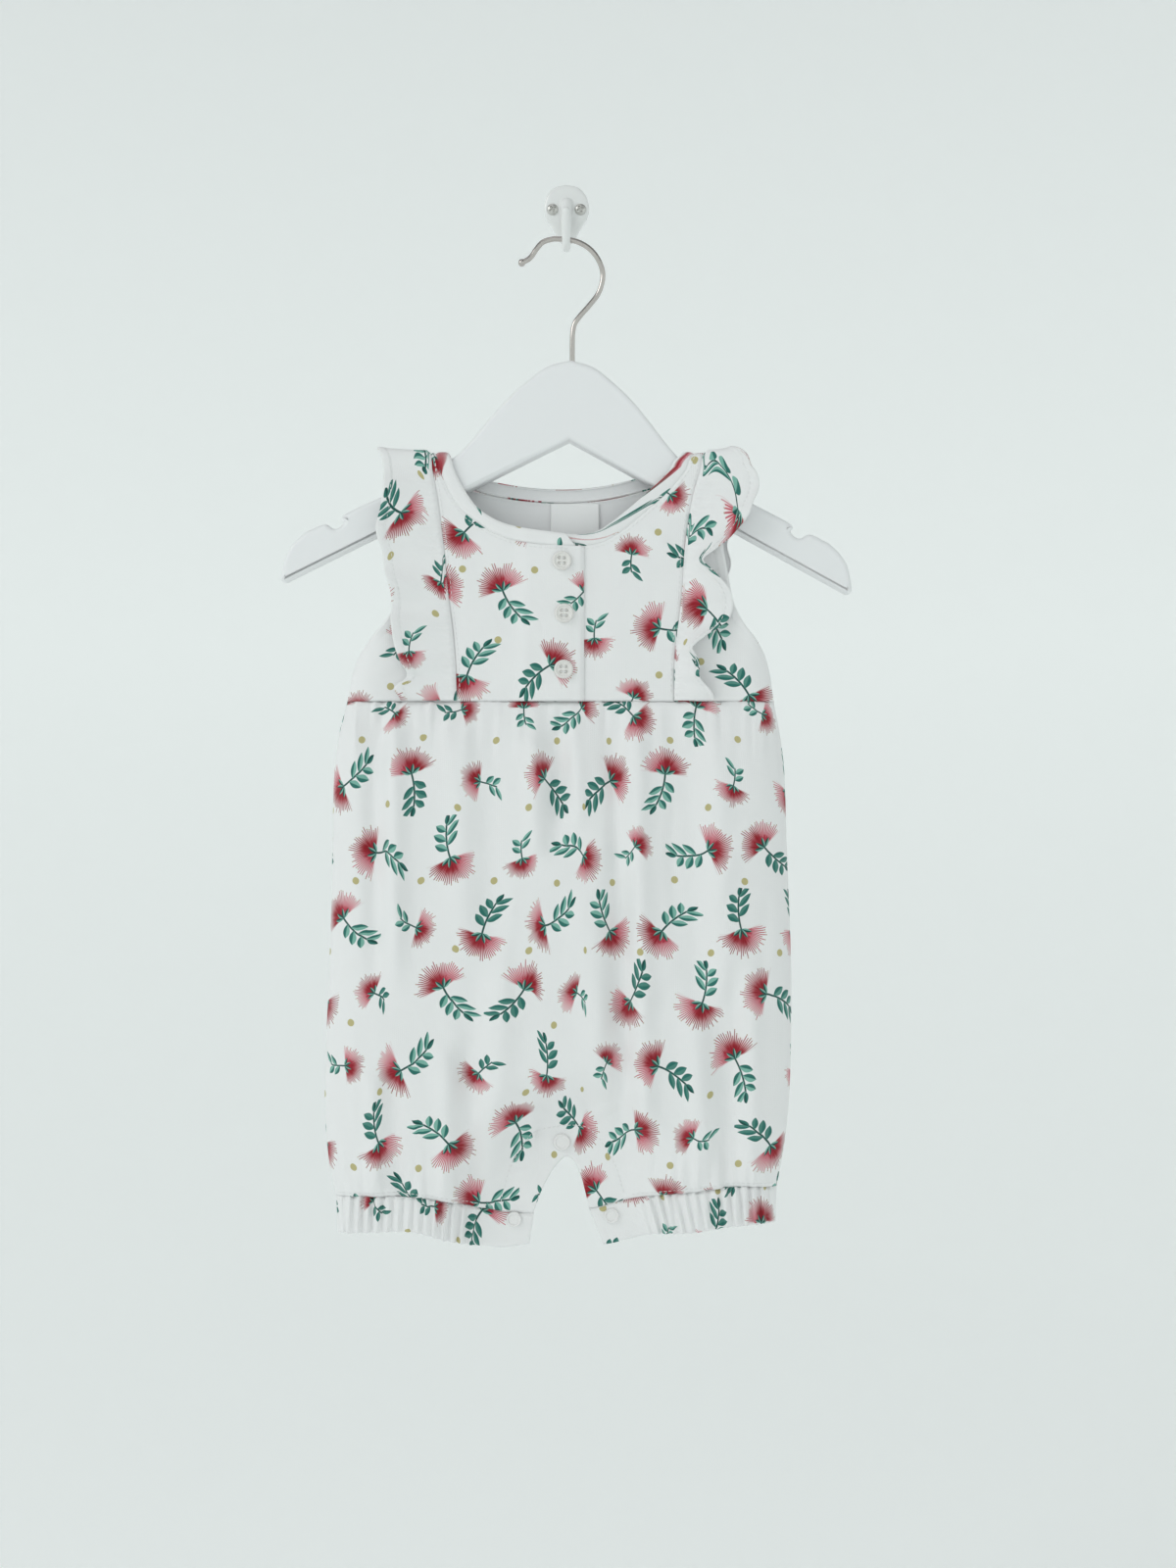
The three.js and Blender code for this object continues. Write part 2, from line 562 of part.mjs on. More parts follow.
function frontCentre(name, rows, side, innerX, lift) {
  const sign = side === "left" ? 1 : -1;
  const corner = rows[0].seamZ - HALF_GAP;
  const grid = [];
  for (const z of [...BODICE_ROWS, corner]) {
    const seam = lookup(RUFFLE_SEAM, "z", z, side) + sign * HALF_GAP;
    grid.push(CENTRE_COLUMNS.map((u) => {
      const x = innerX + (seam - innerX) * u;
      return bodicePlace(x, z, "front", lift(x));
    }));
  }
  rows.forEach((row, i) => {
    if (i === 0) return;
    const inner = neckPoint(rows, i, -1);
    const last = i === rows.length - 1;
    const rowZ = last ? row.rowZ - HALF_GAP : row.rowZ;
    const innerZ = last ? row.seamZ - HALF_GAP : inner.y;
    const seam = lookup(RUFFLE_SEAM, "z", rowZ, side) + sign * HALF_GAP;
    grid.push(CENTRE_COLUMNS.map((u) => {
      const x = inner.x + (seam - inner.x) * u;
      return bodicePlace(x, innerZ + (rowZ - innerZ) * u, "front", lift(x));
    }));
  });
  addPiece(name, clothWall(grid, CLOTH, "front", { last: UP }), JERSEY);
}

// The back has no opening, so each of its rows runs from one ruffle seam to the other, and above the neckline
// from the neck seam outwards on each side
function backCentre() {
  const half = (NECK_BACK.length - 1) / 2;
  const top = NECK_BACK.map((row, i) => {
    const place = neckPoint(NECK_BACK, i, -1);
    if (i === 0 || i === NECK_BACK.length - 1) place.y = STRAP_TOP - HALF_GAP;
    return place;
  });
  const low = SIDE_ROWS[0];
  const grid = SIDE_ROWS.map((rowZ) => NECK_BACK.map((row, i) => {
    const side = i < half ? "right" : "left";
    const inward = side === "right" ? -HALF_GAP : HALF_GAP;
    const lowX = lookup(RUFFLE_SEAM, "z", WAIST, side) * (Math.abs(i - half) / half);
    const isEnd = i === 0 || i === NECK_BACK.length - 1;
    const v = (rowZ - low) / (STRAP_TOP - HALF_GAP - low);
    const z = low + (top[i].y - low) * v;
    const x = isEnd ? lookup(RUFFLE_SEAM, "z", z, side) + inward : lowX + (top[i].x - lowX) * v;
    return bodicePlace(x, z, "back");
  }));
  addPiece("back_centre", clothWall(grid, CLOTH, "back"), JERSEY);
}

function bodiceSide(name, side, face) {
  const sign = side === "left" ? -1 : 1;
  const grid = SIDE_ROWS.map((z) => {
    const seam = lookup(RUFFLE_SEAM, "z", z, side) + sign * HALF_GAP;
    const edge = lookup(OUTLINE, "z", z, side);
    const closed = smooth(z, UNDERARM.open, UNDERARM.closed);
    return SIDE_COLUMNS.map((u) => {
      const place = bodicePlace(seam + (edge - seam) * u, z, face);
      if (u === 1) place.y += faceSign(face) * HALF_GAP * closed;
      if (u === 1 && closed > 0) place.out.set(sign * closed, faceSign(face) * (1 - closed), 0).normalize();
      return place;
    });
  });
  addPiece(name, clothWall(grid, CLOTH, face, { last: UP }), JERSEY);
}

function ruffle(name, side, table) {
  const sign = side === "left" ? -1 : 1;
  const { perFace, columns } = RUFFLE;
  const start = WAIST + GAP;
  const grid = [];
  const row = (z, face, edge, lift) => {
    const seam = lookup(RUFFLE_SEAM, "z", z, side);
    const points = [];
    for (let j = 0; j <= columns; j += 1) {
      const w = j / columns;
      const stand = CLOTH + GAP + RUFFLE.seat + (lift - CLOTH - GAP) * w ** RUFFLE.power;
      points.push(bodicePoint(seam + (edge - seam) * w, z, face, stand));
    }
    grid.push(points);
  };
  for (let i = 0; i <= perFace; i += 1) {
    const z = start + (STRAP_TOP - start) * (i / perFace);
    row(z, "front", lookup(table, "z", z, "edge"), lookup(table, "z", z, "lift"));
  }
  const top = table[table.length - 1];
  for (let i = perFace - 1; i >= 0; i -= 1) {
    const share = i / perFace;
    const z = start + (STRAP_TOP - start) * share;
    const seam = lookup(RUFFLE_SEAM, "z", z, side);
    const wave = Math.sin(share * RUFFLE_BACK.waves * 2 * Math.PI);
    const width = RUFFLE_BACK.waist + (RUFFLE_BACK.shoulder - RUFFLE_BACK.waist) * share;
    const free = seam + sign * (width + RUFFLE_BACK.edgeSwing * wave);
    const near = smooth(share, RUFFLE_BACK.nearTop, 1);
    const edge = free + (top.edge - free) * near;
    const lift = RUFFLE_BACK.stand + RUFFLE_BACK.swing * (1 + wave) * 0.5;
    row(z, "back", edge, lift + (top.lift - lift) * near);
  }
  addPiece(name, clothWall(grid, CLOTH, "front"), JERSEY);
}

function neckband() {
  const grid = [];
  const station = (rows, i, face, lift) => {
    const seam = neckPoint(rows, i, 1);
    const edge = new THREE.Vector2(rows[i].edgeX, rows[i].edgeZ);
    const middle = seam.clone().lerp(edge, 0.5);
    grid.push([
      bodicePlace(edge.x, edge.y, face, lift(edge.x)),
      bodicePlace(middle.x, middle.y, face, lift(middle.x)),
      bodicePlace(seam.x, seam.y, face, lift(seam.x)),
    ]);
  };
  for (let i = 0; i < NECK_LEFT.length; i += 1) station(NECK_LEFT, i, "front", placketLift);
  for (let i = NECK_BACK.length - 2; i >= 1; i -= 1) station(NECK_BACK, i, "back", () => 0);
  for (let i = NECK_RIGHT.length - 1; i >= 0; i -= 1) station(NECK_RIGHT, i, "front", () => 0);
  addPiece("neckband", clothWall(grid, BAND, "front"), JERSEY);
}

function foldsAt(x, z, table) {
  let out = 0;
  for (const fold of table) {
    const along = (z - fold.topZ) / (fold.lowZ - fold.topZ);
    const presence = smooth(along, FOLD.start, FOLD.full) * (1 - smooth(along, FOLD.fade, FOLD.end));
    if (presence > 0) {
      const centre = fold.topX + (fold.lowX - fold.topX) * along;
      const ridge = Math.exp(-(((x - centre) / fold.width) ** 2));
      const beside = centre + fold.side * fold.width * FOLD.beside;
      const trough = Math.exp(-(((x - beside) / fold.width) ** 2));
      out += presence * (fold.rise * ridge + fold.trough * trough);
    }
  }
  return out;
}

function gathersAt(x, z, places) {
  const below = WAIST - z;
  const grown = GATHER.atSeam + (1 - GATHER.atSeam) * smooth(below, 0, GATHER.grow);
  const presence = grown * (1 - smooth(below, GATHER.hold, GATHER.fade));
  if (presence <= 0) return 0;
  let out = 0;
  for (const place of places) out += Math.exp(-(((x - place) / GATHER.width) ** 2));
  return presence * GATHER.rise * (out - GATHER.base);
}

function lowerPoint(x, z, face) {
  const flat = depthAt(x, z, face);
  const inFromSide = Math.abs(outlineAt(z, x) - MIDDLE) - Math.abs(x - MIDDLE);
  const offLap = smooth(distanceToCrotch(x, z), LAP.flat, LAP.fade * LAP.foldShare);
  const free = smooth(inFromSide, SIDE_CALM.from, SIDE_CALM.to) * offLap;
  const folds = foldsAt(x, z, face === "front" ? FRONT_FOLDS : BACK_FOLDS);
  const gathers = gathersAt(x, z, face === "front" ? FRONT_GATHERS : BACK_GATHERS);
  const moved = free * (folds + gathers);
  return new THREE.Vector3(x, flat + faceSign(face) * Math.max(moved, FOLD.deepest), z);
}

const EDGE_STEPS = [0, 0.5, 2, 5];
const LOWER_ROWS = [0, 0.03, 0.075, 0.14, 0.24, 0.36, 0.49, 0.62, 0.74, 0.85, 0.94, 1];

function lowerBottom(x) {
  const inside = CROTCH.slice(1, -2);
  if (x <= inside[0].x || x >= inside[inside.length - 1].x) return lookup(CUFF_SEAM, "x", x, "z");
  return lookup(inside, "x", x, "z");
}

function lowerPanel(name, face, middleColumns) {
  const grid = LOWER_ROWS.map((v) => {
    const z0 = WAIST + (LOW_END - WAIST) * v;
    const left = lookup(OUTLINE, "z", z0, "left");
    const right = lookup(OUTLINE, "z", z0, "right");
    const places = EDGE_STEPS.map((step) => left + step);
    const reach = EDGE_STEPS[EDGE_STEPS.length - 1];
    for (let j = 1; j < middleColumns; j += 1) {
      places.push(left + reach + (right - left - 2 * reach) * (j / middleColumns));
    }
    places.push(...EDGE_STEPS.map((step) => right - step).reverse());
    return places.map((x, j) => {
      const bottom = lowerBottom(x) + HALF_GAP;
      const z = WAIST - HALF_GAP + (bottom - WAIST + HALF_GAP) * v;
      const place = lowerPoint(x, z, face);
      if (j === 0 || j === places.length - 1) place.y = SIDE_SEAM + faceSign(face) * HALF_GAP;
      return place;
    });
  });
  addPiece(name, clothWall(grid, CLOTH, face, { start: LEFT, end: RIGHT }), JERSEY);
}

function cuff(name, side, face) {
  const outerX = lookup(OUTLINE, "z", CUFF.sideZ, side);
  const innerTop = side === "left" ? CROTCH[1].x : CROTCH[CROTCH.length - 3].x;
  const innerLow = side === "left" ? CROTCH[0].x : CROTCH[CROTCH.length - 1].x;
  const length = Math.abs(outerX - innerTop);
  const gathered = length * CUFF.outerShare;
  const marks = [0, CUFF_EDGE.first];
  while (marks[marks.length - 1] < gathered) marks.push(marks[marks.length - 1] + CUFF.pitch / 2);
  while (marks[marks.length - 1] < length - CUFF.flatStep) marks.push(marks[marks.length - 1] + CUFF.flatStep);
  marks.push(length);
  const grid = [0, 0.5, 1].map((v) => marks.map((mark, j) => {
    const innerX = innerTop + (innerLow - innerTop) * v;
    const x = outerX + (innerX - outerX) * (mark / length);
    const top = lookup(CUFF_SEAM, "x", x, "z") - HALF_GAP;
    const z = top + (lookup(HEM, "x", x, "z") - top) * v;
    const near = 1 - smooth(mark, gathered * CUFF.fadeShare, gathered);
    const fade = smooth(mark, CUFF_EDGE.calm, CUFF_EDGE.full) * near;
    const gather = (j % 2 === 0 ? 1 : -1) * CUFF.rise * fade;
    const free = smooth(distanceToCrotch(x, z), LAP.flat, LAP.fade);
    const bulge = CUFF.bulge * Math.sin(Math.PI * v) * free;
    const out = j === 0 ? HALF_GAP : gather + bulge;
    const flat = j === 0 ? SIDE_SEAM : depthAt(x, z, face);
    return new THREE.Vector3(x, flat + faceSign(face) * out, z);
  }));
  addPiece(name, clothWall(grid, CLOTH, face, { start: side === "left" ? LEFT : RIGHT }), JERSEY);
}

function circle(radius, sides, x = 0, y = 0) {
  const points = [];
  for (let i = 0; i < sides; i += 1) {
    const turn = (i / sides) * 2 * Math.PI;
    points.push(new THREE.Vector2(x + radius * Math.cos(turn), y + radius * Math.sin(turn)));
  }
  return points;
}

// Turns a shape drawn in x and z, and extruded, so that it faces the viewer with its back at the given y
function faceViewer(geometry, x, backY, z) {
  geometry.rotateX(Math.PI / 2);
  geometry.translate(x, backY, z);
  return geometry;
}

function buttons() {
  BUTTONS.forEach((place, i) => {
    const shape = new THREE.Shape(circle(BUTTON.radius, 20));
    for (const [across, up] of [[1, 1], [-1, 1], [-1, -1], [1, -1]]) {
      const hole = circle(BUTTON.holeRadius, 6, across * BUTTON.holeOffset, up * BUTTON.holeOffset);
      shape.holes.push(new THREE.Path(hole));
    }
    const geometry = new THREE.ExtrudeGeometry(shape, { depth: BUTTON.thick, bevelEnabled: false });
    const seat = depthAt(place.x, place.z, "front") - PLACKET.lift - SEAT;
    addPiece(`button_${i + 1}`, faceViewer(geometry, place.x, seat, place.z), PLASTIC);
  });
}

function snaps() {
  for (const snap of SNAPS) {
    const profile = [
      new THREE.Vector2(0, 0),
      new THREE.Vector2(snap.radius, 0),
      new THREE.Vector2(snap.radius, SNAP_THICK * 0.45),
      new THREE.Vector2(snap.radius * 0.82, SNAP_THICK),
      new THREE.Vector2(snap.radius * 0.55, SNAP_THICK * 0.7),
      new THREE.Vector2(0, SNAP_THICK * 0.7),
    ];
    const geometry = new THREE.LatheGeometry(profile, 16);
    geometry.rotateX(Math.PI);
    geometry.translate(snap.x, depthAt(snap.x, snap.z, "front") - SEAT, snap.z);
    addPiece(snap.name, geometryFrom(solidFrom(geometry)), PLASTIC);
  }
}

function label() {
  const width = LABEL.right - LABEL.left;
  const height = LABEL.top - LABEL.bottom;
  const geometry = new THREE.BoxGeometry(width, LABEL_CLOTH, height, 4, 1, 4);
  const panel = depthAt(0, LABEL.bottom, "back") - CLOTH;
  const band = depthAt(0, LABEL.top, "back") - CLOTH;
  const y = Math.min(panel, band) - GAP - LABEL_CLOTH / 2;
  geometry.translate((LABEL.left + LABEL.right) / 2, y, (LABEL.top + LABEL.bottom) / 2);
  addPiece("neck_label", geometry, JERSEY);
}

function hangerBoard() {
  const right = BOARD_CREST.map((row) => new THREE.Vector2(row.x, row.z));
  const left = right.slice(1).map((place) => new THREE.Vector2(-place.x, place.y)).reverse();
  const crest = new THREE.SplineCurve([...left, ...right]).getPoints(22);
  const arm = BOARD_ARM.map((row) => new THREE.Vector2(row.x, row.z));
  const otherArm = arm.map((place) => new THREE.Vector2(-place.x, place.y)).reverse();
  const apex = new THREE.Vector2(BOARD_APEX.x, BOARD_APEX.z);
  const shape = new THREE.Shape([...otherArm, ...crest, ...arm, apex]);
  const thick = BOARD.back - BOARD.front;
  const geometry = new THREE.ExtrudeGeometry(shape, {
    depth: thick - 2 * BOARD.edge,
    bevelThickness: BOARD.edge,
    bevelSize: BOARD.edge,
    bevelOffset: -BOARD.edge,
    bevelSegments: 1,
  });
  geometry.rotateX(Math.PI / 2);
  geometry.rotateY(HANGER.tilt);
  geometry.translate(HANGER.x, BOARD.back - BOARD.edge, HANGER.top);
  const hole = new THREE.CylinderGeometry(WIRE.hole, WIRE.hole, 2 * WIRE.depth, 12);
  hole.rotateX(Math.PI / 2);
  const foot = WIRE_PATH[WIRE_PATH.length - 1];
  hole.translate(foot.x, BOARD.middle, HANGER.top);
  addPiece("hanger_board", geometryFrom(solidFrom(geometry).subtract(solidFrom(hole))), PAINTED_WOOD);
}

function hangerWire() {
  const foot = WIRE_PATH[WIRE_PATH.length - 1];
  const places = WIRE_PATH.map((row) => new THREE.Vector3(row.x, BOARD.middle, row.z));
  places.push(new THREE.Vector3(foot.x, BOARD.middle, HANGER.top - WIRE.depth + GAP));
  const path = new THREE.CatmullRomCurve3(places);
  const section = new THREE.Shape(circle(WIRE.radius, WIRE.sides));
  const rod = new THREE.ExtrudeGeometry(section, { steps: WIRE.steps, extrudePath: path });
  const end = new THREE.SphereGeometry(WIRE.endRadius, 8, 6);
  end.translate(places[0].x, places[0].y, places[0].z);
  addPiece("hanger_wire", geometryFrom(solidFrom(rod).add(solidFrom(end))), CHROME);
}

// A round bar of changing radius along its middle line, closed at both ends
function taperedBar(rows, sides, steps) {
  const path = new THREE.CatmullRomCurve3(rows.map((row) => new THREE.Vector3(0, row.y, row.z)));
  const positions = [];
  for (let i = 0; i <= steps; i += 1) {
    const t = i / steps;
    const centre = path.getPoint(t);
    const along = path.getTangent(t);
    const across = new THREE.Vector3(1, 0, 0);
    const up = new THREE.Vector3().crossVectors(along, across).normalize();
    const place = t * (rows.length - 1);
    const row = Math.min(Math.floor(place), rows.length - 2);
    const radius = rows[row].radius + (rows[row + 1].radius - rows[row].radius) * (place - row);
    for (let k = 0; k < sides; k += 1) {
      const turn = (k / sides) * 2 * Math.PI;
      const point = centre.clone()
        .addScaledVector(across, radius * Math.cos(turn))
        .addScaledVector(up, radius * Math.sin(turn));
      positions.push(point.x, point.y, point.z);
    }
  }
  const tip = path.getPoint(1).addScaledVector(path.getTangent(1), rows[rows.length - 1].radius * 0.6);
  const root = path.getPoint(0);
  positions.push(root.x, root.y, root.z, tip.x, tip.y, tip.z);
  const rootIndex = (steps + 1) * sides;
  const index = [];
  for (let k = 0; k < sides; k += 1) {
    const next = (k + 1) % sides;
    for (let i = 0; i < steps; i += 1) {
      const a = i * sides + k;
      const b = i * sides + next;
      index.push(a, b, a + sides, b, b + sides, a + sides);
    }
    index.push(rootIndex, next, k);
    index.push(rootIndex + 1, steps * sides + k, steps * sides + next);
  }
  const geometry = new THREE.BufferGeometry();
  geometry.setAttribute("position", new THREE.Float32BufferAttribute(positions, 3));
  geometry.setIndex(index);
  return geometry;
}

function wallHook() {
  const right = PLATE_HALF.map((row) => new THREE.Vector2(row.x, row.z));
  const left = right.slice(1, -1).map((place) => new THREE.Vector2(-place.x, place.y)).reverse();
  const outline = new THREE.SplineCurve([...right, ...left, right[0]]).getPoints(32).slice(0, -1);
  const plate = new THREE.ExtrudeGeometry(new THREE.Shape(outline), {
    depth: PLATE.thick - 2 * PLATE.edge,
    bevelThickness: PLATE.edge,
    bevelSize: PLATE.edge,
    bevelOffset: -PLATE.edge,
    bevelSegments: 1,
  });
  faceViewer(plate, 0, -PLATE.edge, 0);
  const prong = taperedBar(PRONG, PRONG_SIDES, 22);
  const wall = new THREE.BoxGeometry(60, 20, 60);
  wall.translate(0, 10, 0);
  const hook = solidFrom(plate).add(solidFrom(prong)).subtract(solidFrom(wall));
  addPiece("wall_hook", geometryFrom(hook), ENAMEL);
}

function screws() {
  for (const place of SCREWS) {
    const profile = [
      new THREE.Vector2(0, 0),
      new THREE.Vector2(SCREW.radius, 0),
      new THREE.Vector2(SCREW.radius * 0.94, SCREW.thick * 0.5),
      new THREE.Vector2(SCREW.radius * 0.6, SCREW.thick * 0.88),
      new THREE.Vector2(0, SCREW.thick),
    ];
    let head = solidFrom(new THREE.LatheGeometry(profile, 14));
    for (const [wide, long] of [[SCREW.slot, SCREW.radius * 1.2], [SCREW.radius * 1.2, SCREW.slot]]) {
      const slot = new THREE.BoxGeometry(wide, 2 * SCREW.slotDepth, long);
      slot.translate(0, SCREW.thick, 0);
      slot.rotateY(Math.PI / 5);
      head = head.subtract(solidFrom(slot));
    }
    const geometry = geometryFrom(head);
    geometry.rotateX(Math.PI);
    geometry.translate(place.x, -PLATE.thick - GAP, place.z);
    addPiece(place.name, geometry, CHROME);
  }
}

frontCentre("front_centre_left", NECK_LEFT, "left", PLACKET.edge, placketLift);
frontCentre("front_centre_right", NECK_RIGHT, "right", PLACKET.under, () => 0);
bodiceSide("front_side_left", "left", "front");
bodiceSide("front_side_right", "right", "front");
backCentre();
bodiceSide("back_side_left", "left", "back");
bodiceSide("back_side_right", "right", "back");
ruffle("ruffle_left", "left", RUFFLE_LEFT);
ruffle("ruffle_right", "right", RUFFLE_RIGHT);
neckband();
label();
lowerPanel("front_lower", "front", 54);
lowerPanel("back_lower", "back", 44);
cuff("cuff_left_front", "left", "front");
cuff("cuff_left_back", "left", "back");
cuff("cuff_right_front", "right", "front");
cuff("cuff_right_back", "right", "back");
buttons();
snaps();
hangerBoard();
hangerWire();
wallHook();
screws();

export default romper;
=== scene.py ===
"""A sleeveless baby romper of printed white jersey on a child's wooden hanger, hung from a small wall hook.

Tables and shape functions are in millimetres, in the frame of the part: x to the right, z up, and the wall is
the plane y = 0 behind the garment. Meshes are made in metres.
"""
import math

import bpy
import numpy as np
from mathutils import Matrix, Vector


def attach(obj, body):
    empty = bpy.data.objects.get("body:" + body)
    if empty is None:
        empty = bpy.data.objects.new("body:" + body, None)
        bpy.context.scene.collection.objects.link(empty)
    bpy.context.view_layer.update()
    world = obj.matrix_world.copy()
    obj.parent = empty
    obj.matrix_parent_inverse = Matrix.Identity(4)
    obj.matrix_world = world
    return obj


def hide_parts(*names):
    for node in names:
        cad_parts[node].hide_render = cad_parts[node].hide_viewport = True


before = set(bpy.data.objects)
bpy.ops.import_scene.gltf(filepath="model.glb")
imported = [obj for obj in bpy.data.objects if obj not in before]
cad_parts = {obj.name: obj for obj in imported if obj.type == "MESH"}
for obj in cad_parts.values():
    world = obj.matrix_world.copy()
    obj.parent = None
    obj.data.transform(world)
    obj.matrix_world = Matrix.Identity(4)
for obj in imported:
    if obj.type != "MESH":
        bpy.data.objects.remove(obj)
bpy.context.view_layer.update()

MM = 0.001
rng = np.random.default_rng(11)

# Camera
VIEW_CENTRE_X = 11.5
VIEW_HEIGHT = -306.2
VIEW_DISTANCE = 1022
LENS = 43.8
SENSOR = 36

# Seam heights, and the strap's way over the hanger
WAIST = -263.0
STRAP_BASE = -140.3
STRAP_RISE = 8.0
STRAP_ARC = 13.0
STRAP_TOP = STRAP_BASE + STRAP_ARC
STRAP_POWER = 4.0
BOARD_MIDDLE = -16.0
SIDE_SEAM = -16.5
LAP_Y = {"front": -22.0, "back": -19.0}
LAP_FLAT = 17.0
LAP_FADE = 52.0
LAP_FOLD_SHARE = 0.7
PLACKET_EDGE = 9.4
PLACKET_UNDER = -11.7
PLACKET_FOLD = (-29.0, -19.0)
PLACKET_LIFT = 2.1
PLACKET_TURN = {"deep": 1.1, "wide": 1.3}
MIDDLE = -3.0
UNDERARM = (-222.0, -244.0)
LOW_END = -525.0
# Heights between which the bodice's creases fade towards the shoulder
SHOULDER_CALM = (-165, -145)

# Thickness of the cloth as it shows, of the doubled neckband and of the label
CLOTH = 0.9
BAND = 1.5
LABEL_CLOTH = 0.4


def table(names, *rows):
    """A table with named columns, one row for each section or place, and its rows' numbers."""
    out = dict(zip(names.split(), np.array(rows, float).T))
    out["row"] = np.arange(len(rows), dtype=float)
    return out


DEPTH = {
    "front": table(
        "z y",
        (-127, -24.8), (-180, -25.2), (-263, -26.5), (-272, -29), (-288, -33.5), (-315, -36.5),
        (-380, -38), (-460, -38), (-505, -36), (-524, -34), (-560, -33),
    ),
    "back": table(
        "z y",
        (-127, -7.2), (-180, -6.8), (-263, -6.4), (-300, -6.2), (-420, -6), (-524, -7.5), (-560, -8),
    ),
}
SIDE_TURN = table("z reach", (-127, 16), (-263, 18), (-300, 38), (-500, 42), (-560, 34))
SIDE_POWER = 2.4
OUTLINE = table(
    "z left right",
    (-127, -75.5, 77), (-150, -79, 79), (-182, -83, 82.3), (-200, -86, 85.4), (-212.6, -89.5, 88.2),
    (-222.7, -96, 93.5), (-230, -102.5, 99.4), (-238, -108.5, 104.3), (-248, -112.5, 107.3),
    (-263, -115.4, 109.4), (-279.5, -119.5, 112.4), (-299, -122.1, 114.8), (-343, -123.1, 116.3),
    (-409, -124.9, 118.6), (-453, -126.9, 118.3), (-480, -126.9, 117.1), (-502, -125.3, 114.8),
    (-518, -122.6, 112), (-526, -121, 110.6), (-548, -120.5, 110.6),
)
RUFFLE_SEAM = table(
    "z left right",
    (-127, -71.6, 73.5), (-141, -70, 70.5), (-157, -67.3, 66), (-181, -64, 62.3), (-207, -61.5, 60.5),
    (-238, -58, 57), (-263, -57, 56.5),
)
# Neckline from the placket to the shoulder: free edge, then seam, then the height of the row at the ruffle
NECK_COLUMNS = "edge_x edge_z seam_x seam_z row_z"
NECK = {
    "left": table(
        NECK_COLUMNS,
        (-0.3, -175.4, 5, -182, -182), (-9, -174.3, -9, -181.5, -178.5), (-22, -172.4, -25, -179.4, -174.5),
        (-33.2, -169.4, -37, -175.4, -170), (-41.5, -165.2, -46.4, -169.6, -165),
        (-47.5, -160.3, -52.8, -164.6, -160), (-52.6, -153, -59.2, -156.6, -154),
        (-57.2, -144.6, -63.9, -147.4, -146.5), (-59.7, -138.6, -66.4, -140.5, -140.5),
        (-61, -133.6, -68, -134.6, -134.6), (-61.2, STRAP_TOP, -68.4, STRAP_TOP, STRAP_TOP),
    ),
    "right": table(
        NECK_COLUMNS,
        (-8, -174.9, -8, -182.5, -182), (0, -175.4, 0, -182.1, -180.4), (9.5, -175.6, 12, -181.5, -178.5),
        (17, -173.6, 20.6, -179.2, -175.5), (23.8, -169.2, 28, -174.8, -171),
        (30.6, -163.9, 35.2, -169.3, -166), (38.7, -157, 43.4, -162.3, -160),
        (46.8, -149.8, 51.8, -154.9, -153.5), (53, -143, 58.9, -147, -146.5),
        (57.6, -137.5, 63.6, -140.5, -140.5), (60.2, -133.6, 66.3, -134.6, -134.6),
        (60.6, STRAP_TOP, 67.2, STRAP_TOP, STRAP_TOP),
    ),
    "back": table(
        NECK_COLUMNS,
        (60.6, STRAP_TOP, 67.2, STRAP_TOP, STRAP_TOP), (59.8, -134.4, 66.2, -136, -136),
        (56, -138, 61.5, -142, -142.5), (48, -141, 52.5, -147.2, -151), (36, -144.2, 39, -151.3, -160),
        (19, -147.9, 20, -155.4, -170), (0, -149.6, 0, -157, -178), (-20, -148.6, -21, -156, -170),
        (-38, -145.6, -41, -152.7, -160), (-50, -142, -54.5, -148, -151),
        (-57, -138.5, -62.5, -142.6, -142.5), (-60.6, -134.4, -67.2, -136, -136),
        (-61.2, STRAP_TOP, -68.4, STRAP_TOP, STRAP_TOP),
    ),
}
# Free edge of each ruffle from waist to shoulder, with how far it stands off the panel below
RUFFLE = {
    "left": table(
        "z edge lift",
        (-263, -86, 2.2), (-256, -88.5, 7), (-250, -83, 3), (-243, -85.5, 8.5), (-235, -89, 5),
        (-222.7, -90.6, 9.5), (-212, -91, 4.5), (-200, -92.5, 9), (-188, -95.5, 4), (-173, -98.3, 9.5),
        (-162, -96.5, 5), (-150, -94.7, 8), (-142, -95.2, 4), (-134, -98.3, 3.2), (STRAP_TOP, -99, 2.4),
    ),
    "right": table(
        "z edge lift",
        (-263, 77.5, 2.2), (-256, 74, 7), (-249.2, 68.4, 10), (-241, 69, 6), (-235, 65.6, 10),
        (-228.8, 72.1, 8), (-222, 83.5, 4), (-213, 87, 5), (-205, 84.5, 9), (-197, 77, 11),
        (-190, 71.2, 12), (-183, 78.5, 10), (-173, 90.5, 7), (-162, 96.5, 8.5), (-151, 100.6, 4.5),
        (-143, 98.5, 6), (-134, 89.5, 4), (STRAP_TOP, 88, 2.6),
    ),
}
RUFFLE_BACK = {"waist": 26, "shoulder": 24, "waves": 6, "swing": 1.1, "stand": 1.9}
